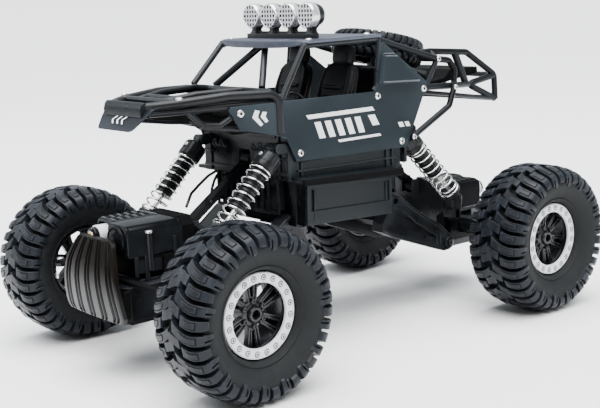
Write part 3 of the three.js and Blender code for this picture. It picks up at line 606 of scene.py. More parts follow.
# Tread blocks: stations, left edge and its flare, right edge and its flare (degrees),
# lift, taper (radians), whether it stands on another block, slot.
LONG_BLOCK = (
    # body from the crown down the sidewall, then its foot split by a slot
    ([0.05, 0.1, 0.16, 0.22, 0.3, 0.37, 0.42, 0.47, 0.52, 0.57, 0.62],
     -4.0, 1.5, 3.9, 0, 0, 0.010, False, 1),
    ([0.615, 0.66, 0.70, 0.75, 0.80], -4.0, 1.5, 0.9, 0, 0, 0.004, False, 1),
    ([0.615, 0.66, 0.70, 0.745], 1.7, 0, 3.9, 0, 0, 0.004, False, 1),
    # engraved outline and pad on the shoulder
    ([0.235, 0.3, 0.37, 0.42, 0.47, 0.515], -2.75, 0, 2.45, 0, 0.05, 0, True, 2),
    ([0.235, 0.3, 0.37, 0.42, 0.47, 0.50], -2.15, 0, 1.85, 0, 0.30, 0.004, True, 1),
)
SHORT_BLOCK = (
    # shoulder block with a line in its wide foot, then outline and pad
    ([0.25, 0.31, 0.37, 0.42, 0.47, 0.52, 0.57, 0.64, 0.705],
     -3.9, 0, 4.0, -5.0, 0, 0.010, False, 1),
    ([0.60, 0.65, 0.70], -1.2, 0, -0.6, 0, 0.06, 0, True, 2),
    ([0.33, 0.38, 0.43, 0.48, 0.515], -2.6, 0, 2.5, 0, 0.05, 0, True, 2),
    ([0.33, 0.38, 0.43, 0.48, 0.50], -2.0, 0, 1.9, 0, 0.28, 0.004, True, 1),
)


def lug(angle, stations, left, right, side, lift=0.0, taper=0.0, on_block=False):
    """One tread block: a ribbon across the tyre between two edges in degrees."""
    verts = []
    for s in stations:
        start, end = math.radians(left(s)), math.radians(right(s))
        centre, half = (start + end) / 2, (end - start) / 2
        for top in (False, True):
            table = BLOCK_TOP if top or on_block else GROOVE_FLOOR
            radius, across = interpolate(table, abs(s))
            across *= 1 if s * side >= 0 else -1
            if top:
                shoulder = min(1.0, max(0.0, (s - 0.45) / 0.15))
                radius += lift * (1 - 0.8 * shoulder)
                across += lift * shoulder * side
            else:
                radius -= 0.6
                across -= 0.6 * side * (1 if s > 0.4 else 0)
            spread = half - (taper if top else 0)
            for offset in (centre - spread, centre + spread):
                a = angle + offset
                verts.append((radius * math.cos(a), radius * math.sin(a), across))
    faces = []
    for a in range(0, 4 * (len(stations) - 1), 4):
        b = a + 4
        faces += [(a + 2, a + 3, b + 3, b + 2), (a + 1, a, b, b + 1),
                  (a, a + 2, b + 2, b), (a + 3, a + 1, b + 1, b + 3)]
    last = 4 * (len(stations) - 1)
    faces += [(0, 1, 3, 2), (last + 2, last + 3, last + 1, last)]
    return Shape(verts, faces)


def block_edge(base, flare):
    """Edge angle by station: swept back at the crown, bowed on the shoulder, flared below."""
    def angle(s):
        sweep = -8.0 * max(0.0, 1 - s / 0.46) ** 1.6
        bow = 0.9 * math.sin(min(1.0, s / 0.8) * pi)
        return base + (sweep + bow) + flare * max(0, s - 0.6)
    return angle


def crown_edge(base):
    return lambda s: base + 14 * max(0, s)


def tyre_shape():
    """Tyre about +Z, outboard up. Slots: 0 carcass, 1 tread blocks, 2 engraved lines and groove
    floors, darker as painted shade.
    """
    outer = [(24.7, 8.4), (24.7, 11.3), (26.0, 13.6), (28.2, 16.2), (31.5, 18.8), (34.0, 20.3),
             (36.4, 21.1), (38.6, 21.1), (40.4, 20.1), (41.9, 18.6), (43.2, 16.5),
             (44.4, 13.6), (45.3, 9.8), (45.9, 5)]
    inner = [(27.5, -8.5), (34, -15.5), (40, -15.0), (43.0, -8), (43.0, 8), (40, 15.0),
             (34, 15.5), (27.5, 8.5)]
    carcass = hoop(outer + [(r, -across) for r, across in outer[::-1]] + inner, 96)
    for i, face in enumerate(carcass.faces):
        corners = [carcass.verts[j] for j in face]
        radius = sum(math.hypot(x, y) for x, y, z in corners) / len(face)
        across = sum(abs(z) for x, y, z in corners) / len(face)
        # Carcass faces between the tread blocks take the darker groove colour, painted shade.
        carcass.slots[i] = 2 if radius > 42.2 and across < 18.5 else 0
    tyre = Shape().join(carcass)
    bead = [(25.4, 12.4), (26.6, 14.6), (27.6, 15.2), (28.6, 16.2), (27.6, 16.9), (26.2, 15.4),
            (25.2, 13.2)]
    for side in (1, -1):
        tyre.join(hoop([(r, across * side) for r, across in bead], 96))
    pairs = 18
    pitch = 360.0 / pairs
    askew = random.Random(7)
    for side in (1, -1):
        for k in range(pairs):
            long_angle = math.radians(pitch * k + (0 if side > 0 else pitch * 0.27))
            short_angle = long_angle + math.radians(pitch / 2)
            for angle, rows in ((long_angle, LONG_BLOCK), (short_angle, SHORT_BLOCK)):
                for row in rows:
                    stations, left, left_flare, right, right_flare = row[:5]
                    lift, taper, on_block, slot = row[5:]
                    tyre.join(lug(angle, stations, block_edge(left, left_flare),
                                  block_edge(right, right_flare), side, lift, taper,
                                  on_block), slot=slot)
            # block filling the centre of the crown, set askew
            skew = askew.uniform(-0.6, 0.6)
            tyre.join(lug(short_angle, [-0.06, 0.02, 0.09, 0.15, 0.215],
                          crown_edge(-12.6 + skew), crown_edge(-4.8 + skew), side,
                          taper=0.012), slot=1)
    return tyre


# ------------------------------------------------------------------ rims and clamping rings
def rim_shape():
    """Six split spokes, hub, barrel and stub axle, outboard up. Slots: 0 plastic, 1 dark."""
    rim = Shape().join(
        hoop([(24.1, -12.3), (24.1, 11.2), (21.4, 11.2), (20.6, 9.8), (20.2, 7.4), (20.2, -4),
              (21.2, -8), (22.6, -12.3)], 72),
        hoop([(20.4, 8.2), (20.4, 6.9), (19.4, 6.9), (19.4, 8.2)], 72))
    spoke = [(5.0, -3.1), (12, -3.8), (20.7, -5.3), (20.7, 5.3), (12, 3.8), (5.0, 3.1)]
    split = [(9.6, 0.75), (19.6, 1.7), (19.6, -1.7), (9.6, -0.75)]
    ribs = (  # outline on the +Y half of the spoke, top height
        ([(7.0, 2.0), (7.0, 3.0), (12, 3.7), (20.0, 5.1), (20.0, 4.0), (12, 2.8)], 7.1),
        ([(9.0, 0.9), (9.0, 1.6), (19.8, 2.7), (19.8, 1.9)], 6.9))
    boss = lathe([(0, 4), (1.5, 4), (1.5, 8.4), (1.1, 8.8), (0.7, 8.8), (0.7, 8.0),
                  (0, 8.0)], 16)
    for i in range(6):
        angle = pi / 3 * i + pi / 6
        spin = turn(angle, "Z")
        rim.join(prism("xy", spoke, 3.2, 6.2, [split]).moved(spin))
        rim.join(prism("xy", split, 3.3, 3.9).moved(spin), slot=1)
        for sign in (-1, 1):
            for outline, top in ribs:
                rib = [(x, y * sign) for x, y in outline][::sign]
                rim.join(prism("xy", rib, 6.0, top).moved(spin))
        rim.join(boss.moved(move(7.2 * math.cos(angle), 7.2 * math.sin(angle), 0)))
    rim.join(lathe([(0, -2), (7.2, -2), (7.2, 6.6), (6.6, 7.2), (4.9, 7.6), (4.4, 9.6),
                    (3.8, 10.2), (2.7, 10.2), (2.5, 9.6), (2.5, 5.0), (0, 5.0)], 40))
    rim.join(lathe([(0, 5.02), (2.5, 5.02), (2.5, 5.6), (0, 5.6)], 24), slot=1)
    rim.join(lathe([(0, 0), (1.3, 0), (1.3, 6.9), (0.9, 7.3), (0, 7.3)], 20), slot=1)
    return rim.join(rod((0, 0, -33.5), (0, 0, -1), 2.9, 20, 0.4))


def ring_shape():
    """Clamping ring with twenty bolts. Slots: 0 ring, 1 dark gap, 2 bolt."""
    ring = hoop([(18.3, 11.7), (24.2, 11.7), (24.2, 13.0), (23.8, 13.5), (23.2, 13.6),
                 (19.2, 13.6), (18.6, 13.4), (18.3, 12.9)], 96)
    gap = lathe([(0, 13.4), (1.75, 13.4), (1.75, 13.68), (0, 13.68)], 18)
    bolt = lathe([(0, 13.5), (1.28, 13.5), (1.28, 13.84), (1.1, 14.0), (0.62, 14.0),
                  (0.55, 13.8), (0, 13.8)], 18)
    socket = lathe([(0, 13.7), (0.6, 13.7), (0.6, 13.92), (0, 13.92)], 8)
    bolt_circle = 21.25
    for i in range(20):
        angle = 2 * pi * (i + 0.5) / 20
        place = move(bolt_circle * math.cos(angle), bolt_circle * math.sin(angle), 0)
        for part, slot in ((gap, 1), (bolt, 2), (socket, 1)):
            ring.join(part.moved(place), slot=slot)
    return ring


TYRE, RIM, RING = tyre_shape(), rim_shape(), ring_shape()
# end, its sign, side, its sign, tyre turn, rim turn (radians)
for end, x_sign, side, sign, tyre_turn, rim_turn in (
        ("front", 1, "left", 1, 0.05, 0.0), ("front", 1, "right", -1, 0.05, 0.4),
        ("rear", -1, "left", 1, 0.35, 0.21), ("rear", -1, "right", -1, 0.35, 0.9)):
    place = (move(WHEEL_X * x_sign, WHEEL_Y * sign, WHEEL_Z)
             @ Matrix.Scale(sign, 4, (0, 1, 0)) @ turn(-pi / 2, "X"))
    name = f"{end}_{side}"
    wheel = name + "_wheel"
    piece(name + "_tyre_look", TYRE.moved(place @ turn(tyre_turn, "Z")),
          ("sidewall", "tyre", "groove"), wheel, name + "_tyre",
          bevel=0.28, segments=1, angle=40, sharp=30)
    piece(name + "_rim_look", RIM.moved(place @ turn(rim_turn, "Z")),
          ("rim", "dark", "steel"), wheel, name + "_rim", bevel=0.25, angle=40)
    piece(name + "_ring_look", RING.moved(place), ("ring", "dark", "silver"), wheel,
          name + "_ring", sharp=45)

# ------------------------------------------------------------------ shock absorbers
# Upper eye, lower eye (as on the front end) and distance from the centre line.
SHOCK_EYES = {
    "front": (Vector((57.5, 0, 128)), Vector((105.4, 0, 79.6)), 39.5),
    "rear": (Vector((52.4, 0, 126.4)), Vector((103.4, 0, 75.2)), 38.2)}
SPRING_LOW = 7.7    # above the lower eye
SPRING_TOP = 16.9   # below the upper eye


def shock_body(length):
    """Threaded body along +Z up to the eye at z = length. Slots: 0 black, 1 steel."""
    def down(profile):
        return [(radius, length - depth) for radius, depth in profile]
    body = lathe(down([(0, 16.2), (7.2, 16.2), (7.6, 15.6), (7.6, 12.6), (7.2, 12.2),
                       (7.2, 6.0), (6.4, 4.8), (0, 4.8)]), 40)
    for i in range(18):
        grip = box(7.0, 7.55, -0.55, 0.55, length - 11.6, length - 6.4)
        body.join(grip.moved(turn(2 * pi * i / 18, "Z")))
    profile = down([(0, 46.4), (4.6, 46.4), (5.0, 46)])
    z = length - 45.6
    while z < length - 17:
        profile += [(5.6, z), (5.6, z + 1.0), (5.05, z + 1.4), (5.05, z + 1.9)]
        z += 2.3
    body.join(lathe(profile + down([(5.3, 16), (0, 16)]), 36))
    body.join(prism("xz", circle(0, length, 3.3, 24), -2.6, 2.6,
                    [circle(0, length, 1.65, 16)]))
    body.join(box(-2.4, 2.4, -2.4, 2.4, length - 5.2, length - 2.6))
    for sign in (1, -1):
        screw = aim(panhead(1.5, 0.8, 16), (sign, 0, 0), (7.0 * sign, 0, length - 9.0))
        body.join(screw, slot=1)
    return body


def shock_rod(length):
    """Rod with spring seat and lower eye at the origin. Slots: 0 black, 1 steel."""
    return Shape().join(rod((0, 0, 2.2), (0, 0, length - 30), 1.5, 18, 0.2), slot=1).join(
        lathe([(0, 4.9), (7.0, 4.9), (7.5, 5.3), (7.5, 6.5), (7.1, 6.9), (0, 6.9)], 36),
        lathe([(0, 1.5), (2.9, 1.5), (3.2, 2.4), (3.2, 4.6), (2.4, 5.4), (0, 5.4)], 24),
        prism("xz", circle(0, 0, 3.4, 24), -2.6, 2.6, [circle(0, 0, 2.0, 16)]))


def shock_coil(length):
    """Coil spring with closed ends."""
    bottom, top = SPRING_LOW, length - SPRING_TOP
    turns, steps_per_turn = 9.5, 22
    closed_share, closed_rise = 0.09, 1.1   # share of the wire in each end, and its rise
    total = int(turns * steps_per_turn)
    points = []
    for i in range(total + 1):
        t = i / total
        angle = 2 * pi * turns * t
        if t < closed_share:
            z = bottom + (t / closed_share) * closed_rise
        elif t > 1 - closed_share:
            z = top - ((1 - t) / closed_share) * closed_rise
        else:
            open_height = top - bottom - 2 * closed_rise
            z = bottom + closed_rise + (open_height * (t - closed_share)
                                        / (1 - 2 * closed_share))
        points.append((6.85 * math.cos(angle), 6.85 * math.sin(angle), z))
    return tube(points, 0.62, 8)


for end, (upper, lower, eye_y) in SHOCK_EYES.items():
    axis = upper - lower
    body, piston, coil = (make(axis.length) for make in (shock_body, shock_rod, shock_coil))
    stand = (Matrix.Translation(lower)
             @ Vector((0, 0, 1)).rotation_difference(axis).to_matrix().to_4x4())
    if end == "rear":
        stand = FLIP_X @ stand
    for side, sign in SIDES:
        place = move(0, eye_y * sign, 0) @ stand
        name = f"{end}_{side}"
        damper, damper_rod = name + "_damper", name + "_damper_rod"
        piece(damper + "_look", body.moved(place), ("black", "steel", "dark"), damper,
              name + "_shock_body", bevel=0.15, segments=1)
        piece(damper_rod + "_look", piston.moved(place), ("black", "steel"), damper_rod,
              name + "_shock_rod", bevel=0.15, segments=1)
        spring = piece(name + "_spring_look", coil.moved(place), "chrome",
                       replaces=name + "_spring", sharp=180, ride=False)
        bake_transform(spring)

# ------------------------------------------------------------------ front cage and hood
BAR = 2.25   # radius of most hood bars
nose_bar = prism("xz", [(135.6, 161.6), (136.4, 162.4), (137.8, 162.2), (139.2, 160.8),
                        (140.2, 157.6), (140.0, 153.6), (138.2, 152.6), (135.8, 153.4)],
                 -20.6, 20.6)
for sign in (1, -1):
    nose_bar.join(side_box(sign, 126.5, 137, 17.6, 20.8, 153.8, 160.8))
piece("nose_bar", nose_bar, "cage", bevel=0.5, angle=50)

cage = Shape()
for bar in (
        # hood rail, lower rail, angled loop, foot, vee strut and inner rail
        tube([(57.4, 44.9, 137.4), (57.4, 44.9, 157.0), (61.5, 43.4, 161.9), (90, 37.0, 162.6),
              (119, 30.2, 160.6), (130.5, 23.0, 159.6), (135, 18.8, 159.2)], 2.8, 16, 7),
        tube([(58, 42.4, 156.2), (80, 38.2, 156.6), (101, 33.0, 156.4), (118, 28.6, 156.0),
              (134, 20.0, 155.6)], BAR, 14, 10),
        tube([(114, 29.6, 155.4), (105.4, 33.6, 146.4), (95.4, 35.7, 145.6),
              (87.6, 37.2, 150.0), (80, 38, 154.0)], 1.9, 12, 2.5),
        tube([(107.4, 33.4, 146.0), (84, 36.6, 142.4), (57, 40.6, 139.4)], 1.7, 12, 3),
        rod((31.6, 1.2, 189.4), (54.4, 24.8, 163.8), BAR),
        tube([(57, 26.5, 162.2), (70, 24.4, 164.0), (100, 18.4, 163.4), (114, 15.4, 161.6),
              (120, 14.6, 160.6)], BAR, 14, 6)):
    cage.join(bar.both())
cage.join(
    # windscreen posts, left then right, and three cross bars
    rod((33.2, 42.4, 190.2), (54.4, 43.4, 157.0), 1.9),
    rod((33.2, -42.4, 190.2), (60.0, -41.2, 164.4), 2.1),
    tube([(119.4, -28.5, 160.8), (119.4, 28.5, 160.8)], BAR, 14),
    tube([(58.5, -39.6, 162), (58.5, 39.6, 162)], 2.6, 14),
    tube([(112.5, -16, 162.2), (112.5, 16, 162.2)], 1.9, 12))
piece("front_cage_look", cage, "black", replaces="front_cage", bevel=0.5, angle=50, sharp=45)

# pan below the hood, closing the front of the tub
pan = prism("xz", [(52.2, 148.4), (52.2, 136.4), (72, 136.4), (77, 139.5), (84, 145.4),
                   (128, 151.4), (134.5, 153.2), (135.5, 156.4), (96, 156.4), (84, 149)],
            -17, 17)
for sign in (1, -1):
    pan.join(side_box(sign, 54, 60, 17, 41, 136.4, 149))
    for k in range(4):
        y = 20 + 3.6 * k
        pan.join(side_box(sign, 60, 61.2 + 0.6 * (k % 2), y - 1, y + 1, 136.6, 148.6))
piece("hood_pan", pan, "dark", bevel=0.5)
# Near-black tray under the hood: painted shade in the opening behind the nose bar.
tray = prism("xy", [(57, -27), (57, 27), (90, 23), (114, 19), (135.5, 17), (135.5, -17),
                    (114, -19), (90, -23)], 156.6, 157.8)
piece("hood_tray", tray, "dark", bevel=0.3)

# nose plate, drawn upright and sheared back about z = 152
NOSE_LEAN = 0.95
nose_shear = Matrix(((1, 0, -NOSE_LEAN, 140.4 + NOSE_LEAN * 152), (0, 1, 0, 0),
                     (0, 0, 1, 0), (0, 0, 0, 1)))
nose = prism("yz", [(-19.6, 147.8), (-18.4, 146.6), (-16.4, 146.0), (16.4, 146.0),
                    (18.4, 146.6), (19.6, 147.8), (22.8, 152.4), (26.0, 158.6),
                    (-26.0, 158.6), (-22.8, 152.4)], -0.8, 0.8)
piece("nose_plate", nose.moved(nose_shear), "nose", bevel=0.6, segments=3)
chevrons = Shape()
for k in range(3):
    y = 7 - 5.2 * k
    chevrons.join(prism("yz", [(y, 152.9), (y - 2.6, 150.9), (y, 148.9), (y - 1.5, 148.9),
                               (y - 4.1, 150.9), (y - 1.5, 152.9)], 0.84, 0.94))
flat_piece("nose_chevrons", chevrons.moved(move(0, 0, 1.0) @ nose_shear), "decal")
screws("hood_screws", [((119.4, 30.2 * s, 163.2), (0.1, 0.1 * s, 1)) for s in (1, -1)],
       radius=2.1, height=1.2)

# ------------------------------------------------------------------ rear cage
CAGE_Y, RACK_Y = 41.6, 35   # outer cage planes and the rack over the spare wheel
cage = Shape()
for bar in (
        tube([(-28.4, CAGE_Y, 189.4), (-84, CAGE_Y, 173.2), (-96, CAGE_Y, 171.4),
              (-101.6, CAGE_Y, 165), (-101, CAGE_Y, 153.6)], 2.2, 14, 5),
        rod((-84, CAGE_Y, 173), (-71.6, CAGE_Y, 153.6), 1.9, 14),
        tube([(-62, CAGE_Y, 155.2), (-99, CAGE_Y, 153.8), (-122, 35.4, 152.8)], 2.2, 14, 4),
        tube([(-66, RACK_Y, 177.4), (-84, RACK_Y, 178.2), (-121, RACK_Y, 175.4),
              (-150.6, RACK_Y, 157.6), (-151.6, RACK_Y, 139.8)], 2.2, 14, 5),
        rod((-109, RACK_Y, 176), (-120.4, RACK_Y, 153), 2.6, 14),
        tube([(-150, RACK_Y, 157), (-122, RACK_Y, 152.8), (-151, RACK_Y, 140.2)], 2.3, 12, 2),
        tube([(-72, 39, 151.6), (-151, RACK_Y, 140.2)], 1.5, 12),
        tube([(-100.4, CAGE_Y + 0.6, 155.4), (-95.8, 46.6, 153.4), (-88.6, 48.3, 141.2),
              (-54.0, 48.3, 124.4)], 2.1, 14, 6),
        rod((-84, CAGE_Y, 173.2), (-84, RACK_Y, 178.2), 1.9, 12)):
    cage.join(bar.both())
for x, y, z in ((-121.4, RACK_Y, 175.2), (-150.4, RACK_Y, 157.4), (-151.4, RACK_Y, 140.2),
                (-84, CAGE_Y, 173), (-101, CAGE_Y, 153.8), (-31, CAGE_Y, 187.6)):
    cage.join(rod((x, -y, z), (x, y, z), 1.9, 14))
piece("rear_cage_look", cage, "cage", replaces="rear_cage", sharp=60)

carrier = prism("xz", [(-138.6, 164.0), (-138.6, 159.4), (-112, 156.2), (-74, 151.2),
                       (-74, 154.6), (-104, 158.6), (-110, 164.0)], -30, 30)
for y in (-24, -12, 0, 12, 24):
    carrier.join(prism("xz", [(-139.6, 163.0), (-139.6, 160.4), (-112, 154.8),
                              (-80, 150.4), (-80, 152.4), (-112, 157.6)], y - 1.2, y + 1.2))
piece("rear_carrier_tray", carrier, "dark", bevel=0.6)
screws("cage_screws", [((x, y * s, z), (0, s, 0))
                       for x, y, z in ((-84, CAGE_Y + 2.0, 173.2), (-53, 49.6, 123.9),
                                       (-95.6, 48.4, 153.2))
                       for s in (1, -1)], radius=1.9, height=0.9)

# ------------------------------------------------------------------ roof
ROOF_HALF_WIDTH, ROOF_TOP, ROOF_REAR, ROOF_STEPS = 44.3, 192.1, -29, 40
ROOF_FRONT = [   # distance from the centre line, x of the front edge
    (0, 41.1), (10, 40.8), (22, 39.6), (34, 37.6), (40.6, 35.5), (43.9, 32), (44.3, 31)]


def roof_section(y):
    """Section along x: flat top with a rolled front lip that hangs lower in the middle."""
    front = interpolate(ROOF_FRONT, abs(y))[0]
    lip = -1.9 - 2.6 * max(0.0, 1 - (abs(y) / 43.5) ** 5)
    section = [   # x, height from the roof top
        (ROOF_REAR, 0.9), (-10, 0.6), (10, 0.35), (front - 5, 0.5), (front - 2.0, 0.3),
        (front - 0.6, -0.3), (front, -1.5), (front - 0.4, lip), (front - 1.9, lip),
        (front - 1.8, -2.0), (front - 3, -1.5), (10, -1.1), (ROOF_REAR, -0.5)]
    return [(x, y, ROOF_TOP + z) for x, z in section]


roof = loft([roof_section(-ROOF_HALF_WIDTH + 2 * ROOF_HALF_WIDTH * i / ROOF_STEPS)
             for i in range(ROOF_STEPS + 1)])
roof.join(prism("xz", [(-29, 191.0), (-29, 193.0), (-8, 192.7), (30, 192.3), (33.6, 191.2),
                       (33.0, 190.3)], 44.0, 45.4).both())
piece("roof_look", roof, "roof", replaces="roof_panel", bevel=0.45, angle=40)
rails = Shape().join(
    tube([(-27.4, 43.3, 190.0), (30.6, 43.2, 189.3), (34.6, 42.4, 188.4)], 2.1, 14, 3),
    tube([(-26.9, 45.0, 189.6), (-22.9, 45.0, 159.6), (-20.6, 45.0, 157.4)], 1.25, 12, 2.5))
piece("roof_rails", rails.both(), "black", sharp=60)
screws("roof_screws", [((x, y * s, z), (0, 0, 1))
                       for x, y, z in ((28, 40, 192.2), (-23, 38, 192.9))
                       for s in (1, -1)], radius=2.1, height=1.1)

# ------------------------------------------------------------------ side panels
PANEL_Y = 46        # outer face of the door panel
PANEL_FRONT = 56.9  # x where the front plate turns inward
PLATE_SLOPE = 0.19
PLATE_TURN = -math.atan(PLATE_SLOPE)
PLATE_PLACE = move(PANEL_FRONT, PANEL_Y, 0) @ turn(PLATE_TURN, "Z")


def panel_shape():
    door = prism("xz", [
        (56.9, 157.1), (-20.4, 156.5), (-22.4, 158.2), (-26.6, 187.4), (-30.6, 187.4),
        (-69.4, 159.4), (-70.0, 157.6), (-49.9, 118.2), (-48.6, 117.3), (46, 118.7),
        (53.6, 134.2), (57.2, 135.6)], 44.5, PANEL_Y)
    plate = prism("xz", [(0, 135.7), (26.6, 142.0), (28.6, 143.2), (34.6, 154.6),
                         (33.6, 156.4), (0, 157.0)], -1.5, 0)
    return door.join(plate.moved(PLATE_PLACE))


def pod_shape():
    """Raised pod behind the door, thickest along its lower crease."""
    return Shape(
        [(-28.4, 46, 180.6), (-41.6, 46, 179.8), (-62.4, 46, 160.6), (-25.0, 46, 162.0),
         (-29.4, 47.9, 178.6), (-40.7, 47.9, 177.8), (-59.6, 49.4, 161.6),
         (-26.2, 49.4, 163.0), (-24.8, 46, 160.2), (-62.8, 46, 158.8)],
        [(0, 1, 5, 4), (1, 2, 6, 5), (3, 0, 4, 7), (4, 5, 6, 7), (7, 6, 9, 8), (2, 9, 6),
         (3, 7, 8), (0, 3, 8, 9, 2, 1)])


def graphics_shape():
    """Slanted bars on the door and a split chevron on the front plate."""
    def bars(*outlines):
        return [prism("xz", outline, PANEL_Y + 0.02, PANEL_Y + 0.12) for outline in outlines]
    z = 146.8   # top line of the door bars
    graphics = Shape().join(*bars([(37.5, z), (35.6, z - 2.6), (-20.5, z - 2.4),
                                   (-18.5, z + 0.2)]))
    for k in range(5):
        x = 31 - 8.4 * k
        graphics.join(*bars([(x, z - 5.0), (x - 5.0, z - 5.0), (x - 9.0, z - 15.5),
                             (x - 4.0, z - 15.5)]))
    graphics.join(*bars(
        [(-14.5, z - 5.0), (-20.5, z - 5.0), (-24.6, z - 12), (-18.6, z - 12)],
        [(12, z - 18), (10.6, z - 19.6), (-26, z - 19.4), (-24.6, z - 17.8)]))
    for outline in (
            [(17.5, 153.4), (19.6, 149.0), (14.4, 143.4), (12.6, 144.4), (16.0, 149.0),
             (14.6, 152.6)],
            [(12.6, 152.0), (14.0, 149.0), (10.8, 145.2), (9.0, 146.0), (10.8, 149.0),
             (9.8, 151.6)]):
        graphics.join(prism("xz", outline, 0.02, 0.12).moved(PLATE_PLACE))
    return graphics.join(*bars(
        [(-41.5, 134.5), (-43.2, 131.2), (-47.4, 131.1), (-45.7, 134.4)],
        [(-47.5, 134.4), (-49.2, 131.1), (-53.0, 131.0), (-51.4, 134.3)]))


for side, sign in SIDES:
    piece(side + "_panel_look", panel_shape().side(sign), "panel",
          replaces=side + "_side_panel", bevel=0.42, segments=3, angle=25)
    piece(side + "_pod", pod_shape().side(sign), "panel", bevel=0.5, segments=3, angle=12)
    # Light strips on the pod: the one along the lower crease is a painted highlight; the two
    # short ones near the top are the pod's light lines.
    trim = Shape().join(
        tube([(-26.4, 49.1, 162.2), (-59.4, 49.1, 160.8)], 0.62, 8),
        tube([(-29.8, 47.7, 178.9), (-40.4, 47.7, 178.1)], 0.45, 8),
        tube([(-29.6, 46.6, 180.4), (-38.6, 46.6, 179.8)], 0.45, 8))
    piece(side + "_pod_trim", trim.side(sign), "edge", sharp=60)
    places = [((x, PANEL_Y * sign, z), (0, sign, 0))
              for x, z in ((-23.7, 153.3), (42.9, 123.9), (-44.7, 121.7), (-66.4, 154.6))]
    plate_screw_x = 83.7
    plate_screw_y = PANEL_Y - PLATE_SLOPE * (plate_screw_x - PANEL_FRONT)
    places.append(((plate_screw_x, plate_screw_y * sign, 152.0),
                   (math.sin(-PLATE_TURN), math.cos(-PLATE_TURN) * sign, 0)))
    screws(side + "_panel_screws", places, radius=2.35, height=0.95)
    flat_piece(side + "_graphics", graphics_shape().side(sign), "decal")

# ------------------------------------------------------------------ skid plate
SKID_FACE = [   # z, x of the front face
    (85.0, 165.7), (80, 167.6), (74, 169.6), (68, 171.0), (62, 171.6), (56, 171.4),
    (50, 170.8), (44, 169.8), (38.4, 168.6)]
SKID_WIDTH = [  # z, half width
    (85.0, 18.6), (82, 20.8), (80, 22.2), (75, 25.2), (70, 27.9), (62, 29.9), (55, 31.3),
    (48, 32.2), (42, 32.8), (40.5, 32.2), (38.4, 30.2)]
SKID_ROWS = [85.0, 84.6, 83.6, 81, 77, 73, 69, 65, 61, 57, 53, 49, 45, 42, 40, 39.0, 38.4]
SKID_GROOVES = (-0.76, -0.38, 0.02, 0.42, 0.80)   # centres of the pairs, -1 to 1 across


def skid_point(across, depth, z):
    half_width = interpolate(SKID_WIDTH, z)[0]
    if z > 84:
        half_width -= (z - 84) ** 2 * 2.0
    x = interpolate(SKID_FACE, z)[0] - 1.5 * across * across - depth
    return x, across * half_width, z


def skid_shape():
    """Curved plate with five pairs of grooves. Slots: 0 plastic, 1 groove floors, in a darker
    colour as painted shade.
    """
    columns = [(-1, 0.6), (-0.975, 0.15), (-0.95, 0), (0.95, 0), (0.975, 0.15), (1, 0.6)]
    for pair in SKID_GROOVES:
        for offset in (-0.058, 0.058):
            centre = pair + offset
            columns += [(centre - 0.048, 0), (centre - 0.034, 1),
                        (centre + 0.034, 1), (centre + 0.048, 0)]
    columns.sort()
    width = len(columns)
    verts = []
    for z in SKID_ROWS:
        grooved = 39.5 < z < 84
        for across, depth in columns:
            verts.append(skid_point(across, 0 if depth == 1 and not grooved else depth, z))
    back = len(verts)
    verts += [skid_point(across, 2.4 + 0.6, z) for z in SKID_ROWS for across in (-1, 1)]
    faces, slots = [], []
    last = len(SKID_ROWS) - 1
    for i in range(last):
        row, rear = i * width, back + 2 * i
        for j in range(width - 1):
            faces.append((row + j, row + j + 1, row + width + j + 1, row + width + j))
            slots.append(1 if columns[j][1] == columns[j + 1][1] == 1 else 0)
        faces += [(rear, rear + 2, rear + 3, rear + 1),
                  (row, row + width, rear + 2, rear),
                  (row + width - 1, rear + 1, rear + 3, row + 2 * width - 1)]
        slots += [0, 0, 0]
    low, rear = last * width, back + 2 * last
    faces += [(*range(width - 1, -1, -1), back, back + 1),
              (*range(low, low + width), rear + 1, rear)]
    shape = Shape(verts, faces)
    shape.slots = slots + [0, 0]
    return shape


piece("skid_plate_look", skid_shape(), ("skid", "groove"), "front_axle", "front_skid_plate",
      sharp=28)

# ------------------------------------------------------------------ motors and covers
MOTOR_Z = {"front": 83.2, "rear": 71.2}
MOTOR_Y = {"front": -11.6, "rear": -11.0}
COVER_Z = {"front": (73.4, 92.4), "rear": (61.0, 80.0)}   # bottom, top


def motor_shape(y, z):
    """Motor along +X. Slots: 0 wrap, 1 dark end, 2 brass, 3 steel."""
    start, end, radius = 119, 160.0, 6.2
    parts = (   # slot, segments, profile
        (0, 40, [(0, start), (radius - 0.3, start), (radius, start + 0.5),
                 (radius, end - 3.6), (radius - 0.3, end - 3.3), (0, end - 3.3)]),
        (1, 40, [(0, end - 3.6), (radius - 0.8, end - 3.6), (radius - 0.8, end - 1.0),
                 (radius - 1.4, end - 0.4), (4.2, end - 0.1), (0, end - 0.1)]),
        (2, 28, [(0, end - 0.6), (3.1, end - 0.6), (3.1, end + 0.3), (2.6, end + 0.7),
                 (1.3, end + 0.8), (1.2, end + 0.3), (0, end + 0.3)]),
        (3, 12, [(0, end - 0.2), (0.8, end - 0.2), (0.8, end + 1.6), (0, end + 1.6)]))
    motor = Shape()
    for slot, count, profile in parts:
        motor.join(along_x(lathe(profile, count), y, z), slot=slot)
    for sign in (1, -1):
        terminal = y + 4.3 * sign
        motor.join(box(end - 1.0, end + 0.8, terminal - 0.8, terminal + 0.8,
                       z - 0.4, z + 0.4), slot=3)
    return motor


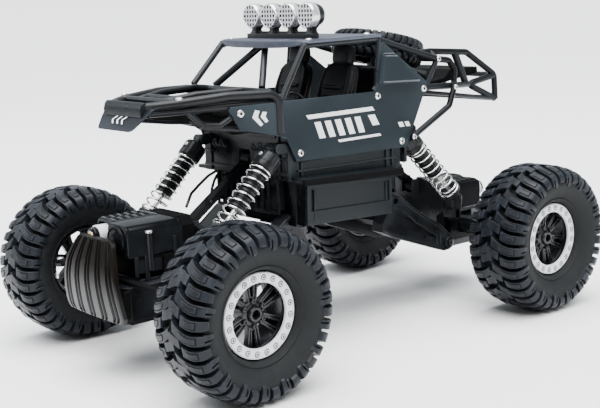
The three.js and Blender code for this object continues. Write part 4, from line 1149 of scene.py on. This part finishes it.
def cover_shape(low, top):
    """Motor cover: right and left halves, back wall and a raised rim round the left end."""
    right = [(0.5, top), (-17.6, top), (-20.6, top - 1.2), (-21.8, top - 3.4),
             (-22, top - 5.4), (-22, low), (-20.2, low), (-20.2, top - 4.6),
             (-18.6, top - 2.6), (-2.6, top - 2.6), (0.5, top - 3.0)]
    left = [(22, low), (22, top - 5.2), (21.2, top - 2.6), (19.4, top - 0.9),
            (17.0, top - 0.3), (2, top - 0.3), (0.0, top - 0.3), (-0.8, top - 4.6),
            (-0.8, low)]
    wall = [(21.9, low), (21.9, top - 5.2), (21.1, top - 2.7), (19.3, top - 1.0),
            (-19, top - 1.0), (-21.5, top - 4), (-21.9, low)]
    rim = [(22.4, low + 1), (22.4, top - 5.0), (21.5, top - 2.2), (19.6, top - 0.4),
           (17, top + 0.1), (3, top + 0.1), (1.2, top - 2.0), (3.0, top - 2.2),
           (16.4, top - 2.2), (18.2, top - 3), (20.0, top - 5.6), (20.4, low + 1)]
    return Shape().join(prism("yz", right, 118.6, 149.5), prism("yz", left, 118.6, 154.6),
                        prism("yz", wall, 116.6, 119.5), prism("yz", rim, 152.8, 155.4))


def slats(count, start_x, start_y, width, lean, length, low, high):
    """Two rows of slanted slats on top of a cover."""
    shape = Shape()
    for row in range(2):
        for i in range(count):
            x, y = start_x + 5.2 * i, start_y + 9.4 * row
            shape.join(prism("xy", [(x, y), (x + width, y), (x + lean + width, y + length),
                                    (x + lean, y + length)], low, high))
    return shape


def bell_shape(z):
    """Round bell in the left end of a cover."""
    end = 157.6
    profile = [   # radius, distance from the end
        (0, -6), (8.9, -6), (8.9, -1.6), (8.2, -0.6), (7.6, -0.4), (7.2, -1.0), (6.6, -0.9),
        (5.6, -0.2), (4.6, 0.5), (3.2, 0.9), (2.5, 1.0), (2.4, 2.2), (1.9, 2.6), (0.8, 2.6),
        (0.7, 1.6), (0, 1.6)]
    return along_x(lathe([(radius, end + x) for radius, x in profile], 40), 10.4, z)


def post_shape(low, top):
    """Post beside a cover. Slots: 0 post and strip, 1 cap."""
    post = rod((140.5, 21.8, low), (140.5, 21.8, top - 5.6), 2.0, 20, 0.3)
    post.join(rod((140.5, 21.8, top - 5.8), (140.5, 21.8, top - 4.0), 2.4, 20, 0.4), slot=1)
    return post.join(box(122, 124, 21.5, 22.9, low - 9, top - 10))


def axle_place(shape, end):
    """The rear axle parts are the front ones turned half round."""
    return shape if end == "front" else shape.moved(HALF_TURN)


for end, _ in ENDS:
    motor = axle_place(motor_shape(MOTOR_Y[end], MOTOR_Z[end]), end)
    piece(end + "_motor_look", motor, ("label", "gloss", "brass", "steel"), end + "_axle",
          end + "_motor", bevel=0.15, segments=1)
for end, plastic in (("front", "cover"), ("rear", "cover2")):
    low, top = COVER_Z[end]
    axle = end + "_axle"
    piece(end + "_cover_look", axle_place(cover_shape(low, top), end), plastic, axle,
          end + "_motor_cover", bevel=0.7, segments=3, angle=26)
    vents = slats(5, 122.5, -18.5, width=2.3, lean=1.6, length=7.4,
                  low=top - 0.5, high=top + 0.12)
    piece(end + "_cover_vents", axle_place(vents, end), "dark", axle)
    louvres = slats(6, 119.9, -18.9, width=2.2, lean=1.8, length=8.2,
                    low=top - 0.3, high=top + 0.22)
    piece(end + "_cover_louvres", axle_place(louvres, end), plastic, axle, bevel=0.35)
    piece(end + "_bell", axle_place(bell_shape(MOTOR_Z[end]), end), plastic, axle, bevel=0.2)
    piece(end + "_cover_post", axle_place(post_shape(low - 9, top), end),
          ("black", "steel"), axle, bevel=0.2)

# ------------------------------------------------------------------ front axle
# faceted belly behind the skid plate
belly = Shape().join(
    prism("xy", [(114, -26.4), (156, -26.4), (164.4, -20), (166.6, -20), (166.6, 20),
                 (164.4, 21), (157.5, 26.4), (114, 26.4)], 37.2, 56.6),
    prism("xy", [(116, -27), (156.4, -27), (165.4, -20.4), (165.4, 20.4), (158, 27),
                 (116, 27)], 56.2, 58.0),
    prism("xy", [(121, -22), (152, -22), (161, -17), (161, 17), (152.6, 22),
                 (121, 22)], 34.2, 37.4))
for sign in (1, -1):
    for x in (122, 138):
        belly.join(side_box(sign, x, x + 2, 26, 27.2, 39, 54))
piece("front_belly", belly, "cover", "front_axle", bevel=0.7, segments=3, angle=26)
gearcase = boxes((120, 148, -21, 21, 56, 59.5), (119, 122, -21.4, 21.4, 56, 73.6))
for sign in (1, -1):
    gearcase.join(side_box(sign, 122, 150, 19.4, 21.2, 63, 73.6),
                  side_box(sign, 141, 144, 20.8, 22.2, 56.2, 73.6),
                  side_box(sign, 148.5, 151, 20.8, 22.2, 61.4, 73.6))
piece("front_gearcase_sides", gearcase, "cover", "front_axle", bevel=0.4)
bracket = [(155.6, 55), (165.2, 55), (165.2, 84), (161.2, 84), (158.4, 60)]
brackets = Shape().join(prism("xz", bracket, -13, -10), prism("xz", bracket, 10, 13))
piece("skid_brackets", brackets, "black", "front_axle", bevel=0.4)

# cables from the tub to the front axle
CABLES = (
    [(52, -31.8, 106.7), (63.7, -24.0, 106.0), (77.6, -14.0, 103.4), (92.3, -3.0, 100.4),
     (104.4, 9.0, 95.4)],
    [(52, -30.9, 104.1), (60.5, -22.0, 102.8), (69.9, -12.0, 99.8), (82.8, 4.0, 94.1)])
for i, points in enumerate(CABLES):
    cable = piece(f"front_cable_{i + 1}", tube(points, 0.95, 10, bend=12, steps=6), "cable",
                  sharp=180, ride=False)
    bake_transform(cable)


def shock_lug(x, y, z):
    """Two cheeks, a web and two pin ends round the lower shock eye."""
    outline = [(99.6, 60), (104, 60), (x + 2.8, z - 2.8), (x + 2.8, z + 0.8),
               (x + 1.2, z + 2.2), (x - 1.2, z + 2.2), (99.6, z - 1.2)]
    return Shape().join(
        prism("xz", outline, y - 4.9, y - 3.5), prism("xz", outline, y + 3.5, y + 4.9),
        box(99.6, 103.2, 31, y + 4.9, 60, z - 8.5),
        rod((x, y - 5.4, z), (x, y - 3.6, z), 1.5, 14),
        rod((x, y + 3.6, z), (x, y + 5.6, z), 1.5, 14))


for end, sign in ENDS:
    _, lower, eye_y = SHOCK_EYES[end]
    lugs = shock_lug(lower.x, eye_y, lower.z).both()
    piece(end + "_shock_lugs", lugs.end(sign), "black", end + "_carrier", bevel=0.4)

KNUCKLE_SCREWS = (   # radius, height, direction, x, z
    (2.4, 1.1, (0, 0, 1), 154, 60.4), (2.6, 1.1, (0, 0, 1), 126, 60.2),
    (2.2, 1.0, (1, 0, 0), 157.0, 50.0), (2.0, 1.0, (0, 0, -1), 126, 39.8))
for side, sign in SIDES:
    heads = [aim(panhead(radius, height), direction, (x, 64 * sign, z))
             for radius, height, direction, x, z in KNUCKLE_SCREWS]
    piece(side + "_knuckle_screws", Shape().join(*heads), ("steel", "dark"),
          side + "_knuckle", sharp=50)

# ------------------------------------------------------------------ light bar
LAMP_Z, LAMP_RADIUS = 206.9, 7.05
LAMP_FOOT = (   # x, z, half length in x, half width in y
    (15.4, 195.2, 3.4, 4.2), (15.4, 196.4, 3.0, 3.0), (15.0, 198.2, 2.6, 2.6),
    (14.4, 201.0, 3.2, 4.6))
bar, cups, grids, insides = Shape(), Shape(), Shape(), Shape()
bar.join(prism("xy", [(x + 16.6, y) for x, y in rounded_rect(4.4, 33.6, 3.2)], 192.3, 195.5),
         box(14.8, 16.6, -29, 29, 195.3, 196.9))
for lamp_y in (28.2, 9.45, -28.2, -9.45):
    shell = lathe([(0, 7.4), (3.0, 7.4), (4.8, 7.9), (6.4, 9.2), (7.2, 11.2), (7.5, 13.4),
                   (7.9, 13.6), (7.9, 14.6), (0, 14.6)], 32)
    bar.join(along_x(shell, lamp_y, LAMP_Z))
    bar.join(loft([[(x + foot_x, y + lamp_y, z) for x, y in rounded_rect(half_x, half_y, 1.2)]
                   for foot_x, z, half_x, half_y in LAMP_FOOT]))
    cup = hoop([(7.4, 14.2), (7.9, 14.5), (8.2, 16.2), (8.2, 18.6), (8.05, 19.6), (7.7, 20.3),
                (7.2, 20.5), (6.9, 20.2), (6.8, 16.2), (6.6, 14.6)], 48)
    cups.join(along_x(cup, lamp_y, LAMP_Z))
    inside = lathe([(0, 18.8), (6.9, 18.8), (6.9, 19.6), (0, 19.6)], 32)
    insides.join(along_x(inside, lamp_y, LAMP_Z))
    for offset in (-4.2, -1.4, 1.4, 4.2):
        reach = math.sqrt(LAMP_RADIUS ** 2 - offset * offset)
        y, z = lamp_y + offset, LAMP_Z + offset
        grids.join(boxes((19.8, 20.3, y - 0.5, y + 0.5, LAMP_Z - reach, LAMP_Z + reach),
                         (19.85, 20.25, lamp_y - reach, lamp_y + reach, z - 0.5, z + 0.5)))
piece("light_bar_look", bar, "black", replaces="light_bar", bevel=0.45, angle=35)
piece("lamp_cups", cups, "lamp", replaces="light_grille", bevel=0.2)
piece("lamp_grids", grids, "silver", bevel=0.12, segments=1)
piece("lamp_insides", insides, "dark")

# ------------------------------------------------------------------ cockpit
# floor, dash, back wall, centre tunnel and side sills
sill = [(41.6, 120.4), (34, 120.4), (36, 126), (41.6, 129)]
cockpit = Shape().join(
    box(-42.2, 42.2, -41.8, 41.8, 118.5, 120.6),
    prism("xz", [(30, 120.4), (42.2, 120.4), (42.2, 147.6), (44, 149), (44, 152.4),
                 (42, 153.6), (35.6, 153.4), (31, 150.4), (26.6, 141), (26.2, 136),
                 (30, 134)], -39.6, 39.6),
    box(-42.2, -39.4, -41.6, 41.6, 120.4, 141),
    prism("xz", [(-39.6, 120.4), (30.2, 120.4), (30.2, 133), (22, 129.6), (-30, 130.6),
                 (-39.6, 134)], -5.0, 5.0),
    prism("yz", [(-y, z) for y, z in sill], -39, 30),
    prism("yz", sill, -39, 30))
piece("cockpit_look", cockpit, "seat", replaces="cockpit", bevel=1.2, segments=3, angle=28)
binnacle = prism("yz", [(9, 152.6), (31, 152.6), (29, 157.0), (26, 158.0), (14, 158.0),
                        (11, 157.0)], 31.5, 40)
binnacle.join(boxes((25.0, 27.2, -30, -12, 139.6, 147), (25.2, 27.4, -6, 6, 137, 149)))
piece("dash_binnacle", binnacle, "black", bevel=0.8, segments=3)

wheel = tube([(x, y, 0) for x, y in circle(0, 0, 8.0, 36)], 1.0, 10, closed=True)
for angle in (pi / 2, pi / 2 + 2.2, pi / 2 - 2.2):
    wheel.join(tube([(0, 0, -0.4), (7.8 * math.cos(angle), 7.8 * math.sin(angle), 0)], 0.8, 8))
wheel.join(lathe([(0, -2.4), (2.2, -2.0), (2.4, 0.4), (1.6, 0.9), (0, 0.9)], 20),
           rod((0, 0, -12), (0, 0, -1), 1.2, 12))
wheel_place = move(21.5, 20, 151.5) @ turn(-math.radians(62), "Y")
piece("steering_wheel", wheel.moved(wheel_place), "black", bevel=0.15, segments=1)

SEAT_BACK = (   # x of centre, z, half width, half depth; the head rest starts at z = 176.4
    (-4.0, 121, 11, 4.2), (-4.2, 128, 12.5, 4.8), (-5.6, 137, 13.4, 5.0),
    (-8.0, 148, 14.0, 5.0), (-11.0, 159, 14.3, 4.8), (-13.4, 166, 14.2, 4.4),
    (-14.6, 170, 13.4, 4.1), (-15.2, 172.4, 11.6, 3.7), (-15.6, 173.8, 9.4, 3.3),
    (-15.8, 174.6, 8.2, 3.1), (-16.2, 176.4, 8.8, 3.6), (-16.8, 180, 8.9, 3.7),
    (-17.3, 184, 8.2, 3.2), (-17.5, 186, 6.4, 2.2), (-17.6, 186.8, 4.0, 1.2))
SEAT_CUSHION = (   # x, z of centre, half width, half height
    (-7, 126.4, 10.6, 4.4), (0, 126.8, 11.6, 5.4), (12, 127.4, 11.8, 5.8),
    (21, 127.4, 11.4, 5.6), (24.2, 126.8, 10.2, 4.6), (25.4, 126.2, 8, 3.0))
BACK_BOLSTER = (   # x, distance from the seat's centre, z
    (3.5, 12.2, 133), (-1.6, 12.8, 141), (-5.4, 13.0, 152), (-9.0, 12.9, 161),
    (-12.0, 12.0, 168.4), (-13.4, 9.6, 171.2))
CUSHION_BOLSTER = ((22, 10.6, 133.0), (8, 11.2, 134.2), (0, 11.4, 132.6))


def seat_shape(seat_y):
    sections = []
    for x, z, half_width, half_depth in SEAT_BACK:
        corner = min(half_depth * 0.8, half_width * 0.6)
        sections.append([(x + b, seat_y + a, z + 0.18 * b)
                         for a, b in rounded_rect(half_width, half_depth, corner)])
    seat = loft(sections)
    for sign in (1, -1):
        for points, count in ((BACK_BOLSTER, 14), (CUSHION_BOLSTER, 12)):
            path = [(x, seat_y + sign * y, z) for x, y, z in points]
            seat.join(tube(path, 2.6, count, bend=4))
    for k in range(5):   # padded strips across the back
        z = 139.5 + 5.0 * k
        x = -1.2 - 0.235 * (z - 137)
        seat.join(tube([(x, seat_y - 8.6, z), (x + 0.4, seat_y, z), (x, seat_y + 8.6, z)],
                       1.5, 10))
    return seat.join(loft([
        [(x, seat_y + a, z + b)
         for a, b in rounded_rect(half_width, half_height, half_height * 0.75)]
        for x, z, half_width, half_height in SEAT_CUSHION]))


for side, sign in SIDES:
    piece(side + "_seat", seat_shape(22.5 * sign), "seat", sharp=60)

# ------------------------------------------------------------------ spare wheel
SPARE_TILT = move(-68.6, 0, 180.4) @ turn(-math.radians(14), "Y") @ move(68, 0, -187.2)
spare = TYRE.moved(SPARE_TILT @ move(-68, 0, 187.2) @ Matrix.Diagonal((0.64, 0.64, 0.415, 1)))
piece("spare_tyre_look", spare, ("tyre", "tyre", "groove"), replaces="spare_tyre",
      bevel=0.15, segments=1, angle=40, sharp=30)
spare_centre = Shape()
for i in range(6):
    spoke = prism("xy", [(3.5, -1.6), (16.4, -3.0), (16.4, 3.0), (3.5, 1.6)], 188.6, 191.4)
    spare_centre.join(spoke.moved(move(-68, 0, 0) @ turn(pi / 3 * i, "Z")))
hub = lathe([(0, 184.5), (4.6, 184.5), (4.6, 192.6), (3.6, 193.4), (0, 193.4)], 28)
lip = hoop([(15.0, 186), (16.4, 186), (16.4, 192.4), (15.6, 193), (15.0, 192.4)], 48)
spare_centre.join(hub.moved(move(-68, 0, 0)), lip.moved(move(-68, 0, 0)),
                  rod((-68, 0, 171.5), (-68, 0, 185), 3.4, 20),
                  box(-78, -60, -41, 41, 172.0, 174.4))
piece("spare_wheel_centre", spare_centre.moved(SPARE_TILT), "black", bevel=0.3)

# closed bay under the spare wheel
bay = prism("xz", [(-52.4, 143), (-54.6, 167), (-62, 168), (-84, 161.5), (-87, 158),
                   (-84, 155.6), (-66, 155.2), (-60, 143)], -31.5, 31.5)
for sign in (1, -1):
    for x in (-80, -71, -62):
        bay.join(side_box(sign, x, x + 1.6, 31.3, 32.7, 156, 160))
piece("rear_bay", bay, "dark", bevel=0.8)


# ------------------------------------------------------------------ tub details
def side_ribs(front, top):
    """Frame and ribs on the side box that ends at x = front, and ribs under the door."""
    outer = [(front, 79.6), (front - 0.5, top), (-27.6, 100.9), (-27.6, 76.7)]
    inner = [(front - 3.2, 88.3), (front - 3.6, top - 2.0), (-25.2, 99.0), (-25.2, 85.6)]
    ribs = prism("xz", outer, 51.9, 53.0, [inner])
    for outline, near, far in (
            ([(front - 5.4, 81.9), (front - 5.8, 101.3), (front - 6.7, 101.3),
              (front - 6.3, 81.9)], 51.9, 53.4),
            ([(-23.2, 79.6), (-23.2, 98.3), (-22.2, 98.4), (-22.2, 79.6)], 51.9, 52.8),
            ([(front - 8.0, 80.9), (-22, 79.0), (-22, 80.0), (front - 8.0, 81.9)], 51.9, 52.6),
            ([(44.6, 112.0), (44.6, 113.2), (-40, 112.0), (-40, 110.8)], 43.6, 45.0),
            ([(40.5, 109), (42, 109), (42, 118), (40.5, 118)], 43.6, 44.8),
            ([(-33, 106), (-31, 106), (-31, 117.6), (-33, 117.6)], 43.6, 44.9),
            ([(-37.5, 106), (-36.3, 106), (-36.3, 117.6), (-37.5, 117.6)], 43.6, 44.9)):
        ribs.join(prism("xz", outline, near, far))
    return ribs


# The right side box is shorter. Side, sign, box front x and top z, ledge front x and top z.
tub_ribs = Shape()
for side, sign, front, top, ledge_x, ledge_z in (
        ("left", 1, 45.2, 104.6, 49.6, 109.2), ("right", -1, 31.6, 103.9, 33.0, 108.6)):
    # The ledges take the near-black recess material, darker than the tub, as painted shade.
    ledge = prism("xz", [(ledge_x, ledge_z - 4.0), (ledge_x, ledge_z), (-35.4, 105.9),
                         (-35.4, 101.6)], 54.6, 57.0)
    piece(side + "_ledge", ledge.side(sign), "dark", bevel=0.6, segments=3)
    tub_ribs.join(side_ribs(front, top).side(sign))

END_RIBS = [   # y, half width, bottom z, proud of the end wall
    (-36.0, 0.8, 107, 1.4), (-31.6, 0.9, 85, 1.2), (-22.5, 0.9, 85, 1.4),
    (-16.5, 0.9, 85, 1.4), (-9.5, 0.8, 85, 1.2)]
END_RIBS += [(-y, half_width, low, proud) for y, half_width, low, proud in END_RIBS[::-1]]


def end_ribs(front):
    """Ribs on one end wall; the front wall carries a few more."""
    ribs = Shape()
    for y, half, low, proud in END_RIBS:
        ribs.join(box(49.8, 50 + proud, y - half, y + half, low, 111))
        if front and abs(y) == 36.0:
            ribs.join(box(51.2, 52.6, y - half, y + half, 108, 135.5))
    reach = 43.6 if front else 29.5
    ribs.join(boxes((49.8, 52.4, -reach, -8, 110.2, 112.4), (49.8, 52.4, 8, reach, 110.2, 112.4),
                    (49.8, 51.6, -32.6, 32.6, 84.6, 86.4)))
    if front:
        ribs.join(boxes((51.2, 52.4, -43.6, -33, 120, 121.4), (51.2, 52.4, 33, 43.6, 120, 121.4)))
    return ribs.join(boxes(
        (51.2, 52.2, -33, 33, 133.0, 136.2), (44.4, 51.4, -33.4, -7.4, 118.2, 136.2),
        (44.4, 51.4, 7.4, 33.4, 118.2, 136.2)))


piece("tub_ribs", tub_ribs, "tub", bevel=0.3, angle=40)
# The end-wall ribs take the same darker plastic as the tub's end faces, painted shade.
piece("tub_end_ribs", Shape().join(end_ribs(True), end_ribs(False).end(-1)), "cover",
      bevel=0.3, angle=40)
hooks = Shape()
for y in (-28, -20.5, 13, 20):
    hooks.join(tube([(52.2, y - 2, 124), (54.4, y - 2, 126), (54.6, y, 129.6),
                     (54.4, y + 2, 126), (52.2, y + 2, 124)], 0.7, 8, 1.5))
hooks.join(tube([(51.6, 14, 104), (53.4, 14, 105.6), (53.8, 16.4, 108.2),
                 (53.4, 18.6, 105.6), (51.6, 18.6, 104)], 0.8, 8, 1.5))
piece("tub_hooks", hooks, "tub")


def carved_tub(cutters):
    """The frame's tub with boxes cut away; end and bottom faces take the second, darker material
    as painted shade.
    """
    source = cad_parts["chassis_tub"]
    tub = bpy.data.objects.new("chassis_tub_look", source.data.copy())
    tub.matrix_world = source.matrix_world.copy()
    bpy.context.scene.collection.objects.link(tub)
    tools = []
    for shape in cutters:
        mesh = make_mesh("cutter", shape)
        bm = bmesh.new()
        bm.from_mesh(mesh)
        bmesh.ops.recalc_face_normals(bm, faces=bm.faces)
        bm.to_mesh(mesh)
        bm.free()
        tool = add_object("cutter", mesh)
        tools.append(tool)
        cut = tub.modifiers.new("cut", "BOOLEAN")
        cut.operation = "DIFFERENCE"
        cut.solver = "EXACT"
        cut.object = tool
    bpy.context.view_layer.update()
    depsgraph = bpy.context.evaluated_depsgraph_get()
    mesh = bpy.data.meshes.new_from_object(tub.evaluated_get(depsgraph))
    tub.modifiers.clear()
    tub.data = mesh
    for tool in tools:
        bpy.data.objects.remove(tool, do_unlink=True)
    mesh.materials.clear()
    mesh.materials.append(MATERIALS["tub"])
    mesh.materials.append(MATERIALS["cover"])
    for face in mesh.polygons:
        # End and bottom faces darker than the sides: painted shade.
        face.material_index = 1 if abs(face.normal.x) > 0.8 or face.normal.z < -0.8 else 0
        face.use_smooth = False
    add_bevel(tub, 0.5)
    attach(tub, "chassis")
    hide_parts("chassis_tub")


# undercuts at both ends, round the side boxes and in the rear corners
cutters = []
for x0, x1 in ((46.6, 53), (-53, -46.6)):
    cutters += [box(x0, x1, -32.9, 32.9, 70, 84.4), box(x0, x1, 32.8, 62, 70, 106.6),
                box(x0, x1, -62, -32.8, 70, 106.6)]
cutters.append(box(32.6, 47.0, -62, -32.8, 70, 106.6))
cutters += [side_box(sign, -47, -28.8, 31, 62, 70, 99.6) for sign in (1, -1)]
cutters += [side_box(sign, -49, -45.0, 30.2, 46.4, 106, 128) for sign in (1, -1)]
carved_tub(cutters)

walls = Shape()
for sign in (1, -1):
    walls.join(side_box(sign, -46.4, -27.6, 29.6, 31.2, 77, 100.4),
               side_box(sign, -29.6, -27.8, 31, 44, 78, 100),
               side_box(sign, -46.4, -28, 31, 44, 99.0, 100.6))
walls.join(boxes((31.4, 33.0, -44, -31, 78, 106.8), (32, 46.8, -33.2, -31.4, 78, 106.8),
                 (32, 46.8, -44, -32, 106.0, 107.2)))
piece("tub_inner_walls", walls, "dark", bevel=0.3)

# ------------------------------------------------------------------ suspension arms
ARM_Y = 37.2
ARM_RIBS = (   # radius, bend, points (x, z): upper edge, lower edge, rib between
    (1.3, 4, [(42.6, 83.2), (46.0, 83.4), (50, 81.4), (65.5, 69.8), (88.1, 56), (98.6, 47.6)]),
    (1.3, 4, [(33.4, 62), (42.8, 56.4), (66, 48), (92.4, 38.6), (97.6, 38.8), (101, 41)]),
    (1.0, 5, [(44.6, 75.4), (51, 73.4), (66, 62), (86, 49.6), (95, 46.6)]))
for end, sign in ENDS:
    upper_rib, lower_rib, middle_rib = (
        tube([(x, ARM_Y, z) for x, z in points], radius, 12, bend)
        for radius, bend, points in ARM_RIBS)
    boss = aim(lathe([(0, 0), (4.2, 0), (4.2, 1.4), (3.4, 2.0), (0, 2.0)], 24),
               (0, 1, 0), (97.5, 37.6, 42.9))
    ribs = Shape().join(upper_rib, lower_rib, boss, middle_rib,
                        box(88, 89.6, ARM_Y, 38.6, 43.5, 50),
                        box(84.6, 85.6, ARM_Y, 38.4, 43.5, 50)).both()
    arm = end + "_arm"
    piece(arm + "_ribs", ribs.end(sign), "black", arm, bevel=0.3, angle=40)
    bolts = [aim(panhead(1.9, 0.9), (0, s, 0), (97.5, 39.6 * s, 42.9)) for s in (1, -1)]
    piece(arm + "_bolts", Shape().join(*bolts).end(sign), ("black", "dark"), arm, sharp=50)

# ------------------------------------------------------------------ surfaces of frame nodes
NODE_GROUPS = (   # material, bevel, nodes
    ("tub", 0.5, "chassis_tub cockpit"), ("tub", 0.6, "battery_door"),
    ("blue", 0.8, "battery_pack"), ("green", 0.1, "circuit_board"),
    ("red", 0.3, "power_switch"), ("black", 0.4, "light_bar"),
    ("silver", 0.1, "light_grille"), ("tyre", 0.6, "spare_tyre"),
    ("black", 0.6, "front_lower_arm rear_lower_arm left_knuckle right_knuckle"),
    ("cover", 0.5, "front_upper_link rear_upper_link"),
    ("black", 0.5, "front_carrier rear_carrier"), ("dark", 0.6, "front_axle_housing"),
    ("cover", 0.6, "rear_axle_housing"), ("cover", 0.7, "front_motor_cover rear_motor_cover"),
    ("label", 0.3, "front_motor rear_motor"), ("skid", 0.5, "front_skid_plate"),
    ("dark", 0.5, "steering_servo"), ("dark", 0.4, "servo_horn"), ("dark", 0.3, "tie_rod"),
    ("brass", 0, "front_drive_gear rear_drive_gear"), ("steel", 0, "front_pinion rear_pinion"),
    ("black", 0, "front_cage rear_cage"), ("roof", 0, "roof_panel"),
    ("panel", 0, "left_side_panel right_side_panel"))
NODE_LOOKS = {node: (key, bevel) for key, bevel, nodes in NODE_GROUPS for node in nodes.split()}


def default_look(name):
    """Material for a node that the table leaves out."""
    if name.endswith("tyre"):
        return "tyre"
    if name.endswith("rim"):
        return "gloss"
    if name.endswith("ring") and "spring" not in name:
        return "ring"
    return "chrome" if "spring" in name or "rod" in name else "black"


for name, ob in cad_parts.items():
    key, bevel = NODE_LOOKS.get(name) or (default_look(name), 0)
    ob.data.materials.clear()
    ob.data.materials.append(MATERIALS[key])
    if bevel:
        add_bevel(ob, bevel)

# ------------------------------------------------------------------ floor
material, tree, shader = new_material("studio_floor")
noise = add_node(tree, "TexNoise", {"Scale": 3}).outputs[0]
floor_colour = colour_ramp(tree, noise, (0, 1), (0.86, 0.86, 0.86), (0.90, 0.90, 0.90))
feed(tree, shader, {"Base Color": floor_colour, "Roughness": 0.7, "Specular IOR Level": 0.15})
FLOOR_HALF = 30   # metres
mesh = bpy.data.meshes.new("studio_floor")
mesh.from_pydata([(x * FLOOR_HALF, y * FLOOR_HALF, 0)
                  for x, y in ((-1, -1), (1, -1), (1, 1), (-1, 1))], [], [(0, 1, 2, 3)])
mesh.materials.append(material)
floor = add_object("studio_floor", mesh)
floor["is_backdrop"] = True

# ------------------------------------------------------------------ world
# Light is strongest from the rear right; the camera sees an even white backdrop.
world = bpy.data.worlds.new("studio")
world.use_nodes = True
tree = world.node_tree
direction = add_node(tree, "TexCoord").outputs["Generated"]
facing = add_node(tree, "VectorMath", operation="DOT_PRODUCT")
feed(tree, facing, {0: direction, 1: (-0.64, -0.77, 0.0)})
glow = map_range(tree, facing.outputs["Value"], source=(-0.75, 0.75), target=(0.06, 1.1),
                 interpolation="SMOOTHSTEP")
camera_ray = add_node(tree, "LightPath").outputs["Is Camera Ray"]
strength = add_node(tree, "Mix", {0: camera_ray, 2: glow, 3: 2.7}, data_type="FLOAT")
tint = mix_colour(tree, camera_ray, (0.86, 0.94, 1.0, 1), (1.0, 1.0, 1.0, 1))
feed(tree, tree.nodes["Background"], {0: tint, 1: strength.outputs[0]})
bpy.context.scene.world = world

# ------------------------------------------------------------------ lights, in metres
sun = bpy.data.lights.new("sky_panel", "SUN")
sun.energy = 9.0
sun.angle = math.radians(70)
add_object("sky_panel", sun).rotation_euler = (math.radians(-14), math.radians(8), 0)
LIGHT_TARGET = Vector((0, 0, 0.1))
WHITE, COOL = (1, 1, 1), (0.93, 0.97, 1.0)
for name, location, width, height, power, colour in (
        ("key_top", (-0.1, -0.15, 1.5), 1.2, 1.2, 18, WHITE),
        ("side_fill", (-0.3, 1.5, 0.7), 0.9, 0.6, 2.0, WHITE),
        ("front_fill", (1.6, -0.2, 0.7), 0.9, 0.6, 1.2, WHITE),
        ("edge_strip_front", (0.75, -1.0, 1.1), 0.12, 1.3, 9.0, COOL),
        ("edge_strip_top", (0.25, 0.55, 1.6), 1.4, 0.10, 8.0, COOL)):
    light = bpy.data.lights.new(name, "AREA")
    light.shape = "RECTANGLE"
    light.size = width
    light.size_y = height
    light.energy = power
    light.color = colour
    lamp = add_object(name, light)
    lamp.location = location
    aim_line = LIGHT_TARGET - Vector(location)
    lamp.rotation_euler = aim_line.to_track_quat("-Z", "Y").to_euler()

# ------------------------------------------------------------------ camera
CAMERA_AT = Vector((0.4882, 0.5821, 0.2218))   # metres
AZIMUTH, ELEVATION, ROLL = (math.radians(degrees) for degrees in (50.42, 10.53, -2.26))
backward = Vector((math.cos(AZIMUTH) * math.cos(ELEVATION),
                   math.sin(AZIMUTH) * math.cos(ELEVATION), math.sin(ELEVATION)))
level_right = (-backward).cross(Vector((0, 0, 1))).normalized()
level_up = level_right.cross(-backward)
right = math.cos(ROLL) * level_right + math.sin(ROLL) * level_up
up = -math.sin(ROLL) * level_right + math.cos(ROLL) * level_up
camera_data = bpy.data.cameras.new("camera")
camera_data.sensor_width = 36.0
camera_data.lens = 68.568
camera_data.clip_start = 0.01
camera = bpy.data.objects.new("camera", camera_data)
camera.matrix_world = Matrix((*zip(right, up, backward, CAMERA_AT), (0, 0, 0, 1)))
bpy.context.scene.collection.objects.link(camera)
bpy.context.scene.camera = camera


def plain(value):
    """Vectors and nested sequences as plain lists of floats."""
    return [plain(item) for item in value] if hasattr(value, "__len__") else float(value)


{"cad": plain(CAD_BOX), "visual": plain(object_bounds())}
